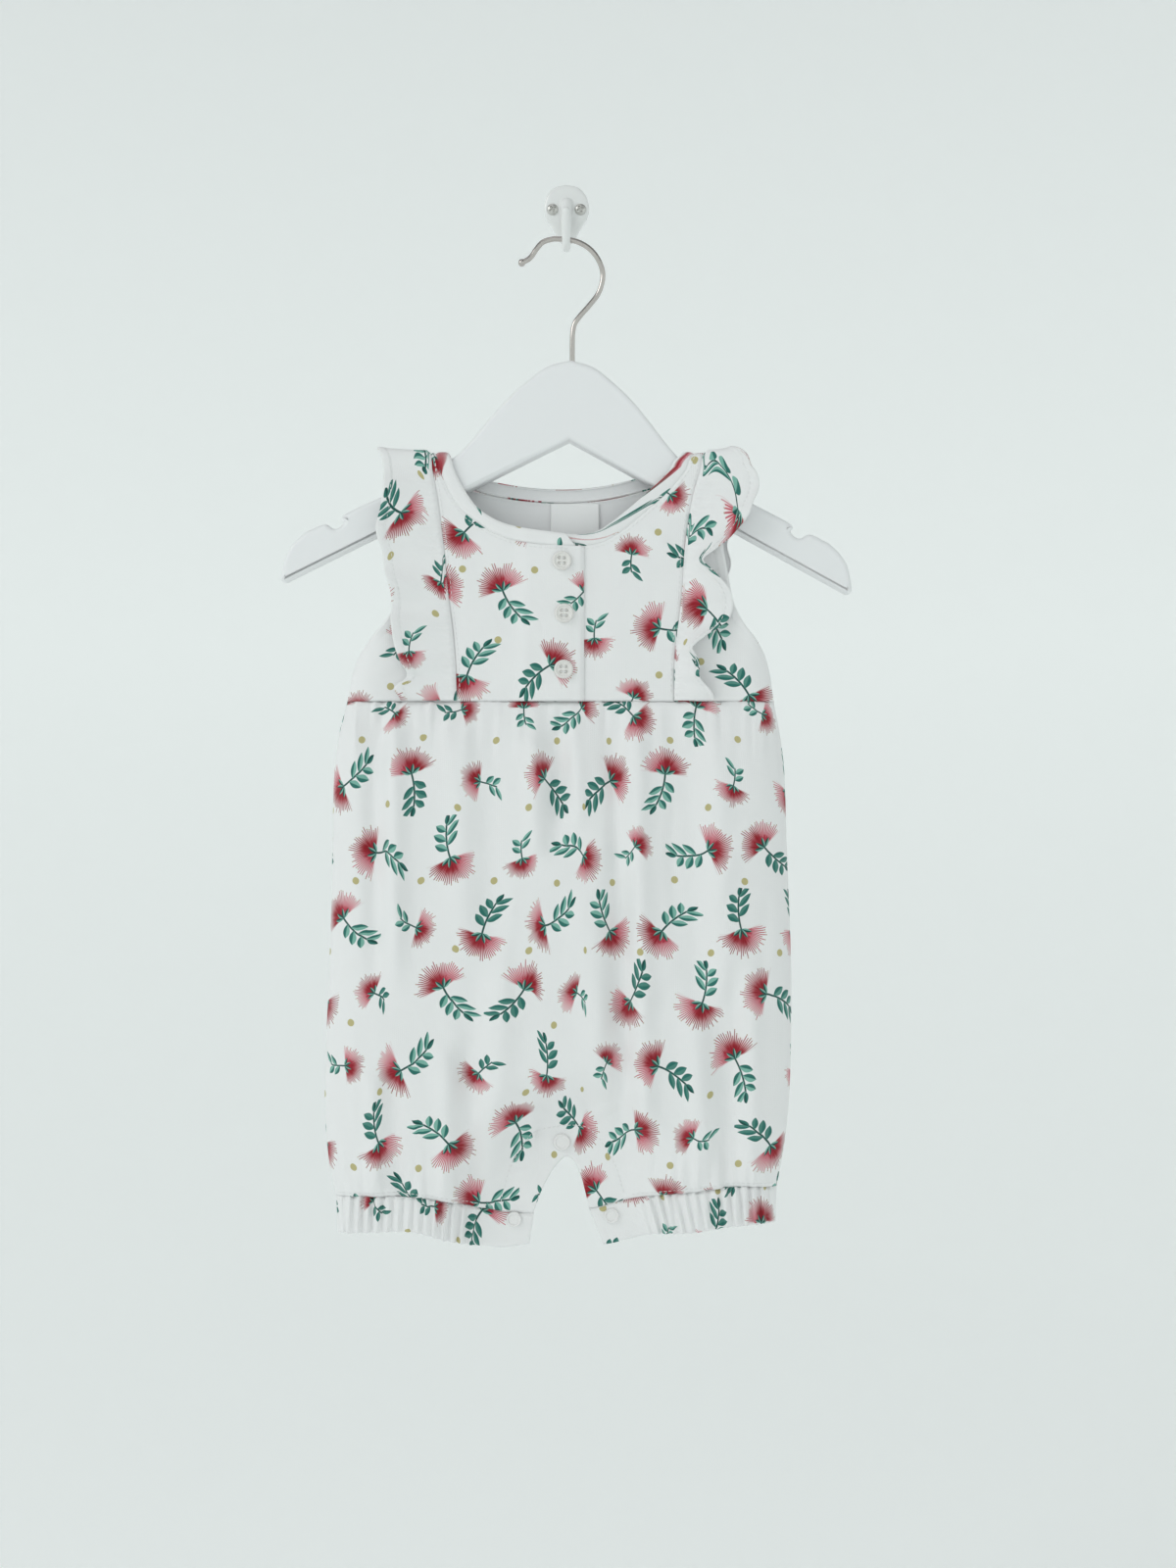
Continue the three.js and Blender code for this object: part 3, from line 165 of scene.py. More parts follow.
# Fine waves of a ruffle's free edge, with where each side starts, and the fine gathers at its seam
RIPPLE = {"over": 2.9, "drift_over": 17, "swell_over": 11, "left": 1.7, "right": 0.4}
SEAM_GATHER = {"rise": 0.4, "pitch": 3.6, "drift": 1.3, "drift_over": 7}
CUFF_SEAM = table(
    "x z",
    (-122, -521.6), (-100, -520.2), (-78.4, -520.5), (-63.1, -522.6), (-48.1, -526.8), (-31.8, -530.4),
    (-16.8, -531), (12, -528.9), (28, -525), (41.2, -521.6), (63.9, -517.8), (88.8, -515), (112, -516.6),
)
HEM = table(
    "x z",
    (-122, -541), (-100, -539.2), (-80.5, -538.6), (-54.5, -546), (-39.4, -548.8), (-31.8, -549.2),
    (-19.3, -547.4), (19.6, -547.8), (41.2, -542.6), (67.2, -539), (86.6, -536), (112, -535.6),
)
CROTCH = table(
    "x z",
    (-19.3, -547.4), (-16.8, -531), (-14.4, -523), (-9, -512), (-3.7, -504.5), (0.8, -501.4),
    (5.5, -506.5), (8.8, -515), (12, -528.9), (15.2, -538.5), (19.6, -547.8),
)
CROTCH_INSIDE = {name: column[1:-2] for name, column in CROTCH.items()}

FOLD_COLUMNS = "top_x top_z low_x low_z width rise trough side"
FOLDS = {
    "front": table(
        FOLD_COLUMNS,
        (-89, -270, -88, -410, 6, 4.6, -5, -1), (36, -272, 41, -512, 6.5, 4.8, -5, -1),
        (-17, -280, -15, -345, 6, 3.2, -2.5, 1), (4.5, -268, 7, -330, 5.5, 3, -3, -1),
        (-57, -275, -52, -400, 9, 2.6, -2, 1), (77, -275, 84, -430, 9, 2.8, -2.4, -1),
        (-100, -455, -98, -524, 6, 3.2, -3, 1), (-62, -440, -60, -524, 6, 3, -2.5, 1),
        (-33, -400, -38, -526, 8, 2.6, -2, -1), (66, -420, 72, -520, 7, 3, -2.6, 1),
        (97, -400, 96, -518, 6, 3, -3, -1), (12, -360, 18, -470, 9, 2, -1.8, 1),
    ),
    "back": table(
        FOLD_COLUMNS,
        (-84, -270, -90, -430, 8, 1.7, -4.5, 1), (-38, -268, -34, -470, 8, 1.6, -4, -1),
        (10, -270, 6, -400, 8, 1.5, -3.5, 1), (52, -268, 60, -480, 8, 1.7, -4.5, -1),
        (88, -290, 92, -515, 7, 1.6, -4, 1), (-66, -420, -70, -520, 7, 1.6, -4, -1),
    ),
}
GATHERS = {
    "front": (-110, -100.8, -88, -75, -61.9, -51.7, -42, -33, -24.9, -16.3, -6.5, 2.9, 12.5, 24.2, 32, 39.3,
              49.5, 62.1, 77.3, 85, 93, 102),
    "back": (-106, -94, -83, -70, -60, -46, -37, -24, -12, 1, 12, 25, 34, 48, 57, 70, 80, 92, 102),
}
# How a fold comes and goes along its length, how many widths off its trough lies, and the deepest that it goes
FOLD = {"start": -0.08, "full": 0.12, "fade": 0.8, "end": 1.08, "beside": 1.7, "deepest": -7}
# Distances from the side seam between which the folds begin
SIDE_CALM = (2, 12)
GATHER = {"width": 3.4, "rise": 1.5, "at_seam": 0.35, "grow": 9, "hold": 10, "fade": 42, "base": 0.45}
CUFF = {"pitch": 5.0, "rise": 1.1, "bulge": 0.9, "outer_share": 0.76, "fade": 0.9, "side_z": -530}
# Ribs of the cuff: where they start and are full, how their rise and spacing drift, and the finer ones on them
CUFF_RIB = {"first": 1.2, "calm": 1, "full": 5, "uneven": 0.3, "uneven_over": 7.3, "drift": 0.35,
            "drift_over": 9.1, "fine": 0.3, "fine_pitch": 2.7, "fine_slant": 3}
# Fullness just above the cuff, by height over its seam
PUFF = {"rise": 1.1, "full": 3.5, "hold": 5, "end": 22}
# Fine puckers at the waist and the cuffs: how many, and the spans of their widths, rises and lengths
WAIST_PUCKER = {"count": 70, "widths": (0.9, 2.2), "rises": (-1.1, 1.1), "reaches": (8, 40)}
CUFF_PUCKER = {"count": 46, "widths": (1.0, 2.4), "rises": (-0.9, 1.0), "reaches": (10, 44)}
WAIST_SPAN = (-116, 110)
CUFF_SPANS = ((-121, -44), (40, 112))
PUCKER = {"hold": 0.25, "side_calm": 7}

# Creases: a soft ridge or, where the rise is below zero, a trough, from one place to another
CREASE_COLUMNS = "from_x from_z to_x to_z width rise"
CREASES = {
    "front": table(
        CREASE_COLUMNS,
        (-2, -484, -34, -462, 5, 0.9), (-8, -490, -46, -486, 6, -0.8), (6, -486, 34, -468, 5, 0.8),
        (9, -492, 44, -494, 6, -0.9), (-14, -508, -48, -514, 5, 0.7), (13, -510, 40, -512, 5, 0.7),
        (-70, -430, -44, -470, 8, -1.1), (58, -400, 34, -452, 8, -0.9), (-104, -330, -78, -392, 7, 0.8),
        (96, -320, 70, -384, 7, 0.9), (-28, -350, -34, -440, 7, 0.9), (54, -300, 57, -392, 6, -1.0),
        (20, -300, 22, -360, 5, 0.7), (-112, -420, -108, -500, 6, 0.9), (104, -360, 101, -440, 6, -0.9),
        (-50, -206, -22, -196, 6, -0.35), (24, -196, 50, -210, 7, -0.4), (18, -226, 46, -240, 8, 0.35),
        (-46, -232, -20, -246, 7, 0.35), (-100, -250, -76, -238, 5, 0.6), (98, -252, 78, -236, 5, 0.6),
        (-92, -236, -76, -216, 5, -0.6), (92, -234, 76, -212, 5, -0.6), (36, -168, 56, -186, 5, 0.4),
    ),
    "back": table(
        CREASE_COLUMNS,
        (-10, -486, -44, -470, 6, 0.8), (10, -488, 42, -474, 6, 0.9), (-20, -500, -60, -498, 6, -0.7),
        (20, -502, 58, -496, 6, -0.7), (-64, -330, -52, -410, 8, 0.9), (28, -320, 34, -420, 8, 0.8),
        (-12, -340, -16, -450, 7, -0.9), (74, -350, 78, -430, 7, 0.8), (-100, -350, -104, -450, 7, -0.8),
        (-48, -196, -16, -206, 7, 0.4), (16, -210, 48, -200, 7, 0.4), (-40, -236, -10, -228, 8, -0.4),
        (12, -240, 44, -232, 8, 0.35), (-98, -252, -78, -236, 5, 0.6), (96, -250, 76, -238, 5, 0.6),
    ),
}
# How a crease comes and goes along its length, its narrowing, and its slight wander
CREASE = {"before": 6, "full": 0.3, "fade": 0.65, "after": 8, "narrow": 0.6, "wander": 0.12, "wander_over": 9,
          "side_calm": 9}
# Sewing round the crotch, from one leg to the other
CROTCH_ARC = table(
    "x z",
    (-34.5, -527), (-32.5, -518), (-29, -506.8), (-23.5, -496.8), (-18, -489.6), (-12.9, -487.3),
    (-1.9, -485.2), (9.4, -485.5), (15.1, -489.6), (20.5, -496.8), (26.1, -506.8), (29.5, -518), (31.5, -523.5),
)

# Fastenings
BUTTON = {"radius": 5.1, "thick": 2.4, "hole": 0.72, "offset": 1.35, "rim": 1.15, "dish": 0.75, "deep": 1.0}
BUTTONS = ((-2.1, -189.8), (-0.9, -217.1), (-1.2, -246.4))
SNAPS = (("snap_crotch", -2.2, -493.8, 4.45), ("snap_leg_right", 23.8, -532.4, 4.0),
         ("snap_leg_left", -27.3, -534.2, 4.0))
SNAP_THICK = 1.7
LABEL = {"left": -8.2, "right": 17.5, "top": -157.4, "bottom": -187}

# Hanger and wall hook
HANGER = {"x": 2.5, "top": -83.7, "tilt": math.radians(1.2), "front": -22, "back": -10, "edge": 2.6}
BOARD_CREST = table(
    "x z",
    (0, 0), (11.5, -3.2), (21.6, -10.4), (32.1, -19.9), (42.7, -32.2), (51.4, -43.1), (59.8, -51.7),
    (72, -59.2),
)
BOARD_ARM = table(
    "x z",
    (98, -73.7), (117, -83.5), (117.4, -87.6), (119.6, -90.2), (122.8, -90.9), (127.4, -88.8), (135, -92),
    (139, -94.5), (144.5, -100), (148, -106.4), (150, -116.4), (149.6, -118.9), (147.5, -119.5),
)
BOARD_APEX = -42.2
WIRE = {"radius": 1.4, "end": 2.0, "depth": 8.7}
WIRE_PATH = table(
    "x z",
    (-23.4, -31.4), (-19, -28.8), (-15.7, -24.2), (-12.4, -20.6), (-7.7, -19), (-4.4, -18.8), (2.4, -19.4),
    (7.8, -21.1), (13.1, -24.7), (17.1, -30.1), (19.2, -36.2), (18.8, -42.2), (16.5, -48.3), (11.8, -54.3),
    (7.1, -59.7), (4.4, -63.7), (3.4, -68.8), (3.2, -76),
)
PLATE_THICK = 4.0
PLATE_HALF = table(
    "x z",
    (0, 14), (6, 12.7), (10.4, 8.2), (12.2, 1.6), (11, -4), (7.8, -9), (5.6, -13.4), (3, -17), (0, -18),
)
PRONG = table(
    "y z radius",
    (-3.6, 3.2, 3.4), (-6.2, -3, 3.1), (-9.4, -10.8, 2.7), (-11.4, -16.6, 2.5), (-12.4, -20.9, 2.4),
    (-16, -23.4, 2.4), (-19.6, -21, 2.3), (-21.2, -16.4, 2.2), (-23.4, -10.8, 2.2), (-25.2, -6.4, 1.9),
)
SCREWS = (("screw_left", -7.4, 0.4, 0.62), ("screw_right", 7.4, 0.4, 0.35))
SCREW = {"radius": 3.1, "thick": 1.6, "slot": 0.36, "reach": 1.95, "deep": 0.8}

# Print on the jersey: a tossed flower, large or small, in each cell of a staggered lattice, and a dot near its
# corner. Leaves: place of the base, length, width and whether small flowers have them too.
PRINT = {"cell_x": 38.5, "cell_y": 37.0, "jitter": 1.5, "calyx": 4.0, "petal": 13.2, "rays": 36,
         "half_turn": math.radians(96), "bend": 0.016, "dot": 2.0}
PRINT_LEAVES = ((-1.2, 7.6, 3.4, True), (-5.4, 8.2, 3.3, True), (-9.6, 7.2, 2.9, False))
LEAF_TURN = math.radians(128)
# Screen colours of the print
INK = {"ground": (246, 246, 246), "wash": (208, 52, 74), "pale_wash": (238, 160, 172), "heart": (166, 8, 26),
       "line": (140, 8, 26), "pale_line": (208, 70, 92), "tip": (176, 140, 96), "teal": (42, 114, 104),
       "dark_teal": (16, 78, 72), "light_teal": (130, 186, 172), "dot": (196, 187, 136)}


def smooth(at, start, end):
    t = np.clip((np.asarray(at, float) - start) / (end - start), 0, 1)
    return t * t * (3 - 2 * t)


def bump(at, width):
    return np.exp(-((at / width) ** 2))


def lookup(rows, key, at, column):
    """One column of a table at places along another, on a smooth curve through the rows."""
    keys, values = rows[key], rows[column]
    if keys[0] > keys[-1]:
        keys, values = keys[::-1], values[::-1]
    at = np.clip(np.asarray(at, float), keys[0], keys[-1])
    i = np.clip(np.searchsorted(keys, at, side="right") - 1, 0, len(keys) - 2)
    before, after = np.maximum(i - 1, 0), np.minimum(i + 2, len(keys) - 1)
    span = keys[i + 1] - keys[i]
    t = (at - keys[i]) / span
    start = (values[i + 1] - values[before]) / (keys[i + 1] - keys[before]) * span
    end = (values[after] - values[i]) / (keys[after] - keys[i]) * span
    a, b = values[i], values[i + 1]
    return (((2 * (a - b) + start + end) * t + 3 * (b - a) - 2 * start - end) * t + start) * t + a


def each_row(rows):
    """A table's rows, one after the other, each with its columns' names."""
    for i in range(len(rows["row"])):
        yield {name: column[i] for name, column in rows.items()}


def place_at(rows, k, which=""):
    """The x and z of a table's line at places counted in rows."""
    return lookup(rows, "row", k, which + "x"), lookup(rows, "row", k, which + "z")


def even(count, ends=0.7):
    """Numbers from 0 to 1, closer together near both ends."""
    t = np.linspace(0, 1, count)
    return t - ends * np.sin(2 * math.pi * t) / (2 * math.pi)


def way_out(face):
    return -1 if face == "front" else 1


# The garment's form


def outline_at(z, x):
    return np.where(x < MIDDLE, lookup(OUTLINE, "z", z, "left"), lookup(OUTLINE, "z", z, "right"))


def distance_to_crotch(x, z):
    least = np.full(np.broadcast(x, z).shape, 1e9)
    for i in range(len(CROTCH["x"]) - 1):
        ax, az = CROTCH["x"][i], CROTCH["z"][i]
        dx, dz = CROTCH["x"][i + 1] - ax, CROTCH["z"][i + 1] - az
        t = np.clip(((x - ax) * dx + (z - az) * dz) / (dx * dx + dz * dz), 0, 1)
        least = np.minimum(least, np.hypot(x - ax - t * dx, z - az - t * dz))
    return least


def in_from_side(x, z):
    return np.abs(outline_at(z, x) - MIDDLE) - np.abs(x - MIDDLE)


def depth_at(x, z, face):
    """The outer face of the cloth, as y, with no folds."""
    x, z = np.broadcast_arrays(np.asarray(x, float), np.asarray(z, float))
    flat = lookup(DEPTH[face], "z", z, "y")
    away = 1 - np.clip(in_from_side(x, z) / lookup(SIDE_TURN, "z", z, "reach"), 0, 1)
    rounded = np.clip(1 - away**SIDE_POWER, 0, 1) ** (1 / SIDE_POWER)
    opened = flat + (SIDE_SEAM - flat) * smooth(z, *UNDERARM) * (1 - rounded)
    lap = 1 - smooth(distance_to_crotch(x, z), LAP_FLAT, LAP_FADE)
    return opened + (LAP_Y[face] - opened) * lap


def strap_point(x, height, face, lift=0.0):
    """A place on the bodice. Above the strap's base, height runs on over the shoulder to its top."""
    x, height, lift = np.broadcast_arrays(*(np.asarray(v, float) for v in (x, height, lift)))
    turn = np.clip((height - STRAP_BASE) / STRAP_ARC, 0, 1) * math.pi / 2
    bend = 2 / STRAP_POWER
    half = abs(float(depth_at(0, STRAP_BASE, face)) - BOARD_MIDDLE) + lift
    over_y = BOARD_MIDDLE + way_out(face) * half * np.clip(np.cos(turn), 0, 1) ** bend
    over_z = STRAP_BASE + (STRAP_RISE + lift) * np.sin(turn) ** bend
    below = height <= STRAP_BASE
    y = np.where(below, depth_at(x, np.minimum(height, STRAP_BASE), face) + way_out(face) * lift, over_y)
    return np.stack([x, y, np.where(below, height, over_z)], -1)


def placket_lift(x):
    """The buttoned side lies over the other, and its folded edge turns down on it."""
    edge = np.clip(PLACKET_EDGE - x, 0, None)
    return PLACKET_LIFT * smooth(x, *PLACKET_FOLD) - PLACKET_TURN["deep"] * bump(edge, PLACKET_TURN["wide"])


def no_lift(x):
    return 0 * x


def folds_at(x, z, face):
    out = np.zeros(np.broadcast(x, z).shape)
    for fold in each_row(FOLDS[face]):
        along = (z - fold["top_z"]) / (fold["low_z"] - fold["top_z"])
        presence = smooth(along, FOLD["start"], FOLD["full"]) * (1 - smooth(along, FOLD["fade"], FOLD["end"]))
        centre = fold["top_x"] + (fold["low_x"] - fold["top_x"]) * along
        beside = centre + fold["side"] * fold["width"] * FOLD["beside"]
        ridge = fold["rise"] * bump(x - centre, fold["width"])
        out += presence * (ridge + fold["trough"] * bump(x - beside, fold["width"]))
    return out


def gathers_at(x, z, face):
    below = WAIST - z
    at_seam = GATHER["at_seam"]
    grown = at_seam + (1 - at_seam) * smooth(below, 0, GATHER["grow"])
    presence = grown * (1 - smooth(below, GATHER["hold"], GATHER["fade"]))
    out = sum(bump(x - place, GATHER["width"]) for place in GATHERS[face])
    return presence * GATHER["rise"] * (out - GATHER["base"])


def scattered(count, *spans):
    """Rows of uneven numbers, with each column in its own span."""
    return np.stack([rng.uniform(*span, count) for span in spans], -1)


def pucker_rows(kind, ends):
    """Small puckers of uneven width, rise and length, at uneven places between two ends."""
    return scattered(kind["count"], ends, kind["widths"], kind["rises"], kind["reaches"])


WAIST_PUCKERS = {face: pucker_rows(WAIST_PUCKER, WAIST_SPAN) for face in DEPTH}
CUFF_PUCKERS = {face: np.concatenate([pucker_rows(CUFF_PUCKER, ends) for ends in CUFF_SPANS]) for face in DEPTH}


def puckers(rows, x, away):
    out = np.zeros(np.broadcast(x, away).shape)
    for place, width, rise, reach in rows:
        out += rise * bump(x - place, width) * (1 - smooth(away, reach * PUCKER["hold"], reach))
    return out


# Soft waves of the whole cloth: length, slant, phase and rise
CRUMPLE = {face: scattered(10, (24, 75), (-0.5, 0.5), (0, 6.28), (0.06, 0.2)) for face in DEPTH}


def crumple(x, z, face):
    """Soft unevenness of the whole cloth, and its creases."""
    out = np.zeros(np.broadcast(x, z).shape)
    for length, slant, phase, rise in CRUMPLE[face]:
        way = 2 * math.pi / length
        out += rise * np.sin(way * (x + slant * z) + phase) * np.sin(way * 0.45 * (z - slant * x) + 2 * phase)
    for crease in each_row(CREASES[face]):
        dx, dz = crease["to_x"] - crease["from_x"], crease["to_z"] - crease["from_z"]
        length = math.hypot(dx, dz)
        along = ((x - crease["from_x"]) * dx + (z - crease["from_z"]) * dz) / length
        across = ((x - crease["from_x"]) * dz - (z - crease["from_z"]) * dx) / length
        across = across + CREASE["wander"] * crease["width"] * np.sin(along / CREASE["wander_over"])
        come = smooth(along, -CREASE["before"], length * CREASE["full"])
        presence = come * (1 - smooth(along, length * CREASE["fade"], length + CREASE["after"]))
        out += crease["rise"] * presence * bump(across, crease["width"] * CREASE["narrow"])
    return out * smooth(in_from_side(x, z), 0, CREASE["side_calm"])


def bodice_point(x, height, face, lift=0.0):
    calm = 1 - smooth(height, *SHOULDER_CALM)
    return strap_point(x, height, face, lift + crumple(x, height, face) * calm)


def lower_bottom(x):
    inside = (x > CROTCH_INSIDE["x"][0]) & (x < CROTCH_INSIDE["x"][-1])
    return np.where(inside, lookup(CROTCH_INSIDE, "x", x, "z"), lookup(CUFF_SEAM, "x", x, "z"))


def lower_point(x, z, face, lift=0.0):
    off_lap = smooth(distance_to_crotch(x, z), LAP_FLAT, LAP_FADE * LAP_FOLD_SHARE)
    free = smooth(in_from_side(x, z), *SIDE_CALM) * off_lap
    moved = np.maximum(free * (folds_at(x, z, face) + gathers_at(x, z, face)), FOLD["deepest"])
    above_cuff = z - lookup(CUFF_SEAM, "x", x, "z")
    fine = puckers(WAIST_PUCKERS[face], x, WAIST - z) + puckers(CUFF_PUCKERS[face], x, above_cuff)
    fine = fine * smooth(in_from_side(x, z), 0, PUCKER["side_calm"])
    puff = PUFF["rise"] * smooth(above_cuff, 0, PUFF["full"])
    puff = puff * (1 - smooth(above_cuff, PUFF["hold"], PUFF["end"])) * free
    out = moved + fine + puff + crumple(x, z, face) + lift
    return np.stack([x + 0 * z, depth_at(x, z, face) + way_out(face) * out, z + 0 * x], -1)


# Shader numbers


class Number:
    """A number worked out by shader nodes. The signs of arithmetic make the nodes."""

    tree = None

    def __init__(self, socket):
        self.socket = socket

    def __add__(self, other):
        return calculate("ADD", self, other)

    def __sub__(self, other):
        return calculate("SUBTRACT", self, other)

    def __rsub__(self, other):
        return calculate("SUBTRACT", other, self)

    def __mul__(self, other):
        return calculate("MULTIPLY", self, other)

    def __truediv__(self, other):
        return calculate("DIVIDE", self, other)

    __radd__ = __add__
    __rmul__ = __mul__


def plug(socket, value):
    if isinstance(value, Number):
        Number.tree.links.new(value.socket, socket)
    else:
        socket.default_value = value


def calculate(operation, *values):
    node = Number.tree.nodes.new("ShaderNodeMath")
    node.operation = operation
    for socket, value in zip(node.inputs, values):
        plug(socket, value)
    return Number(node.outputs[0])


def ramp(value, start, end):
    """0 before the start, 1 after the end, and smooth between them."""
    node = Number.tree.nodes.new("ShaderNodeMapRange")
    node.interpolation_type = "SMOOTHSTEP"
    plug(node.inputs["Value"], value)
    plug(node.inputs["From Min"], start)
    plug(node.inputs["From Max"], end)
    return Number(node.outputs["Result"])


def random_numbers(*place):
    """Three even numbers from 0 to 1 that depend only on the place."""
    join = Number.tree.nodes.new("ShaderNodeCombineXYZ")
    for socket, value in zip(join.inputs, place):
        plug(socket, value)
    noise = Number.tree.nodes.new("ShaderNodeTexWhiteNoise")
    noise.noise_dimensions = "3D"
    Number.tree.links.new(join.outputs[0], noise.inputs["Vector"])
    split = Number.tree.nodes.new("ShaderNodeSeparateColor")
    Number.tree.links.new(noise.outputs["Color"], split.inputs[0])
    return [Number(split.outputs[i]) for i in range(3)]


def blended(share, first, second):
    """A mix of two colours; each is a socket or three numbers."""
    node = Number.tree.nodes.new("ShaderNodeMix")
    node.data_type = "RGBA"
    plug(node.inputs["Factor"], share)
    for name, colour in (("A", first), ("B", second)):
        socket = next(s for s in node.inputs if s.name == name and s.type == "RGBA")
        if isinstance(colour, tuple):
            socket.default_value = (*colour, 1)
        else:
            Number.tree.links.new(colour, socket)
    return next(s for s in node.outputs if s.type == "RGBA")


def rgb(red, green, blue):
    """A screen colour from 0 to 255 as the linear numbers that shaders take."""
    return tuple(v / 12.92 if v < 0.04045 else ((v + 0.055) / 1.055) ** 2.4
                 for v in (red / 255, green / 255, blue / 255))


def plain_material(name, colour, roughness, metallic=0.0, coat=0.0, sheen=0.0):
    material = bpy.data.materials.new(name)
    material.use_nodes = True
    shader = material.node_tree.nodes["Principled BSDF"]
    shader.inputs["Base Color"].default_value = (*colour, 1)
    shader.inputs["Roughness"].default_value = roughness
    shader.inputs["Metallic"].default_value = metallic
    shader.inputs["Coat Weight"].default_value = coat
    shader.inputs["Coat Roughness"].default_value = 0.15
    shader.inputs["Sheen Weight"].default_value = sheen
    return material


def add_noise(material, scale, tone, height):
    """Uneven tone and surface, so that no finish is perfectly flat."""
    tree = Number.tree = material.node_tree
    shader = tree.nodes["Principled BSDF"]
    place = tree.nodes.new("ShaderNodeTexCoord")
    noise = tree.nodes.new("ShaderNodeTexNoise")
    noise.inputs["Scale"].default_value = scale
    noise.inputs["Detail"].default_value = 4
    tree.links.new(place.outputs["Object"], noise.inputs["Vector"])
    colour = tuple(shader.inputs["Base Color"].default_value)[:3]
    darker = tuple(v * (1 - tone) for v in colour)
    tree.links.new(blended(Number(noise.outputs["Fac"]), darker, colour), shader.inputs["Base Color"])
    relief = tree.nodes.new("ShaderNodeBump")
    relief.inputs["Strength"].default_value = 0.5
    relief.inputs["Distance"].default_value = height * MM
    tree.links.new(noise.outputs["Fac"], relief.inputs["Height"])
    tree.links.new(relief.outputs["Normal"], shader.inputs["Normal"])
    return material


def jersey_relief(material, u, v):
    """The fine ribs of a plain knit, 1.1 mm apart, with a little fuzz."""
    tree = material.node_tree
    rib = calculate("ABSOLUTE", calculate("SINE", u * (math.pi / 1.1)))
    stitch = calculate("SINE", v * (2 * math.pi / 0.9))
    noise = tree.nodes.new("ShaderNodeTexNoise")
    noise.inputs["Scale"].default_value = 900
    relief = tree.nodes.new("ShaderNodeBump")
    relief.inputs["Strength"].default_value = 0.35
    relief.inputs["Distance"].default_value = 0.12 * MM
    height = rib + 0.25 * stitch + 0.6 * Number(noise.outputs["Fac"])
    tree.links.new(height.socket, relief.inputs["Height"])
    tree.links.new(relief.outputs["Normal"], tree.nodes["Principled BSDF"].inputs["Normal"])


def leaf(p, q, base_q, turn, long, wide):
    """A lens-shaped leaf from its base on the line p = 0: its mask, and the place across it."""
    rise = q - base_q
    along = p * math.sin(turn) + rise * math.cos(turn)
    across = p * math.cos(turn) - rise * math.sin(turn)
    t = along / long
    half = t * (1 - t) * (2 * wide)
    return ramp(half - calculate("ABSOLUTE", across), -0.05, 0.22), across


